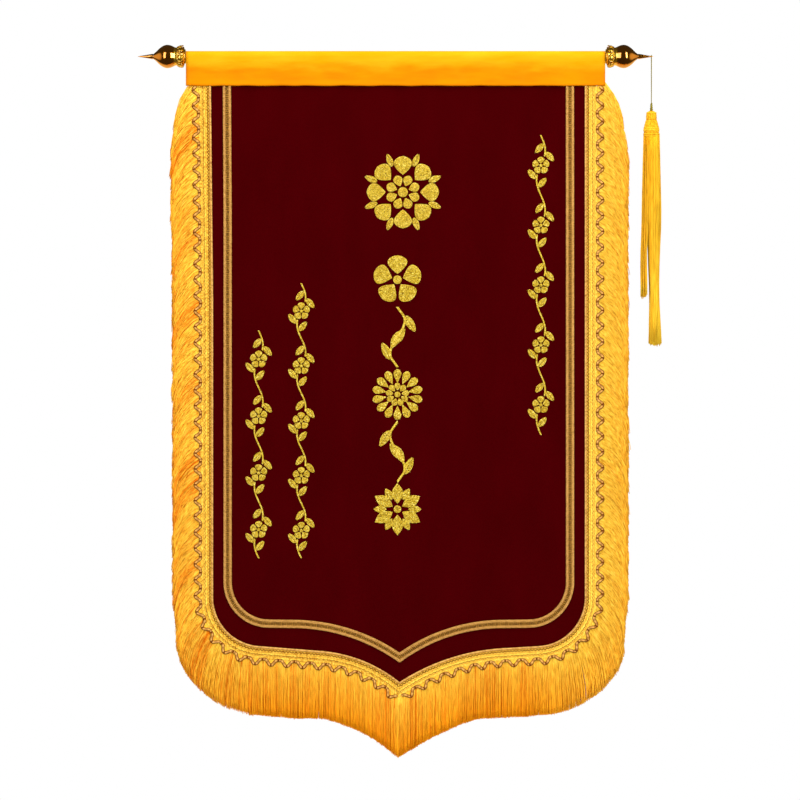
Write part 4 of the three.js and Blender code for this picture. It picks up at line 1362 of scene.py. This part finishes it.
def make_skirt(material, rng):
    """Long yarns that part in two: a few shorter ones hang on the left, the others spread to the tip."""
    count, places, sides = SKIRT["strands"], 12, 3
    turn = rng.uniform(0, 2 * np.pi, count)
    reach = SKIRT["radius"] * np.sqrt(rng.uniform(0.02, 1, count))
    share = np.linspace(0, 1, places)[None, :]
    is_short = (reach * np.cos(turn) < SKIRT["part_x"])[:, None]
    group = np.where(is_short, 4, np.floor(turn / (np.pi / 2))[:, None]).astype(int)
    own = rng.normal(0, 1, 5)
    end = np.where(is_short, SKIRT["short"], SKIRT["long"]) + rng.normal(0, SKIRT["uneven"], (count, 1))
    parted = np.clip((share - SKIRT["parts_from"]) * 3, 0, 1)
    flared = SKIRT["long_flares"] * np.clip((share - 0.8) * 5, 0, 1)
    narrow = np.where(is_short, mix(1, SKIRT["short_narrows"], parted),
                      mix(1, SKIRT["long_narrows"], parted) + flared)
    middle = np.where(is_short, mix(SKIRT["short_from"], SKIRT["short_to"], parted),
                      SKIRT["long_drift"] * parted)
    spread = mix(1, SKIRT["spread"], np.minimum(1, share * 2.5))
    wander = rng.normal(0, 0.6, (count, 1)) * np.sin(share * 6 + rng.uniform(0, 6, (count, 1))) * share
    own_x = (reach * np.cos(turn))[:, None] * spread
    own_y = (reach * np.sin(turn))[:, None] * spread
    short_x = mix(own_x, middle + (own_x + 9) * narrow, parted)
    pulled = np.where(is_short, short_x, own_x * narrow + middle * parted)
    x = pulled + wander
    y = own_y * mix(1, narrow, 0.6) + 0.6 * wander
    z = mix(SKIRT["root"], end, share)
    radii = SKIRT["thread"] * rng.uniform(0.8, 1.2, (count, 1)) * np.ones((1, places))
    shape = tubes(np.stack([HANG_X + x, y, z], axis=-1), radii, sides)
    tone = np.clip(0.66 + 0.1 * own[group[:, 0]] + rng.normal(0, 0.22, count), 0, 1)
    down = np.tile(np.repeat(share.ravel(), sides), count)
    facts = {"tone": np.repeat(tone, places * sides), "along": down * 0.8,
             "lane": np.repeat(turn * 7, places * sides), "curl": down * 12,
             "painted_streaks": np.full(len(shape[0]), 0.5)}
    thing = make_piece("tassel_yarns", *shape, material, "tassel_yarn", facts)
    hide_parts("tassel")


# Everything together

def main():
    for thing in list(bpy.data.objects):
        is_framed = thing.name in frame["nodes"] or thing.name.startswith("body:")
        if not is_framed:
            bpy.data.objects.remove(thing)
    add_camera()
    add_studio()
    add_floor()
    yarn_gold = yarn("fringe_yarn", linear(255, 212, 72), linear(255, 164, 3), linear(240, 128, 2))
    heading_yarn = yarn("heading_yarn", linear(255, 212, 82), linear(244, 176, 30), linear(206, 138, 24))
    tassel_yarn = yarn("tassel_yarn", linear(246, 188, 34), linear(248, 206, 52), linear(238, 156, 16))
    cord_yarn = yarn("twisted_cord", linear(150, 136, 40), linear(126, 112, 26), linear(84, 72, 12))
    tie_yarn = yarn("tie_yarn", linear(236, 160, 14), linear(226, 146, 10), linear(196, 112, 4))
    pale_foil = metallic_thread("pale_foil", linear(208, 154, 76), linear(158, 106, 40), 0.2)
    deep_foil = metallic_thread("deep_foil", linear(186, 134, 46), linear(114, 72, 12), 0.15)
    rose_gold = metallic_thread("rose_gold", linear(238, 182, 92), linear(176, 110, 40), 0.15)
    # Brown thread for the heading's zigzags, also used as the painted shadow beside the wave cord.
    brown_thread_and_shadow = metallic_thread("brown_thread_and_shadow", linear(140, 72, 8), linear(86, 38, 4), 0.0, 0.05)
    make_loop(cord_yarn)
    make_sleeve(satin())
    panel, flat, area = make_panel(velvet())
    trims = []
    for name, row in FRINGE_LINE.items():
        trims += make_heading(name, row, heading_yarn, rose_gold, brown_thread_and_shadow)
        trims += make_wave(name, row, rose_gold, brown_thread_and_shadow)
        trims += make_strands(name, row, yarn_gold)
    trims += make_border(pale_foil, deep_foil)
    trims += make_embroidery(gold_thread())
    gilt = plated_gold()
    make_finial("gilt_finial_left", FINIAL["foot_left"], -1, gilt)
    make_finial("gilt_finial_right", FINIAL["foot_right"], 1, gilt)
    make_tassel(tassel_yarn, cord_yarn, tie_yarn)
    rod = frame["nodes"]["rod"]
    rod.data.materials.clear()
    rod.data.materials.append(rod_wood())


main()
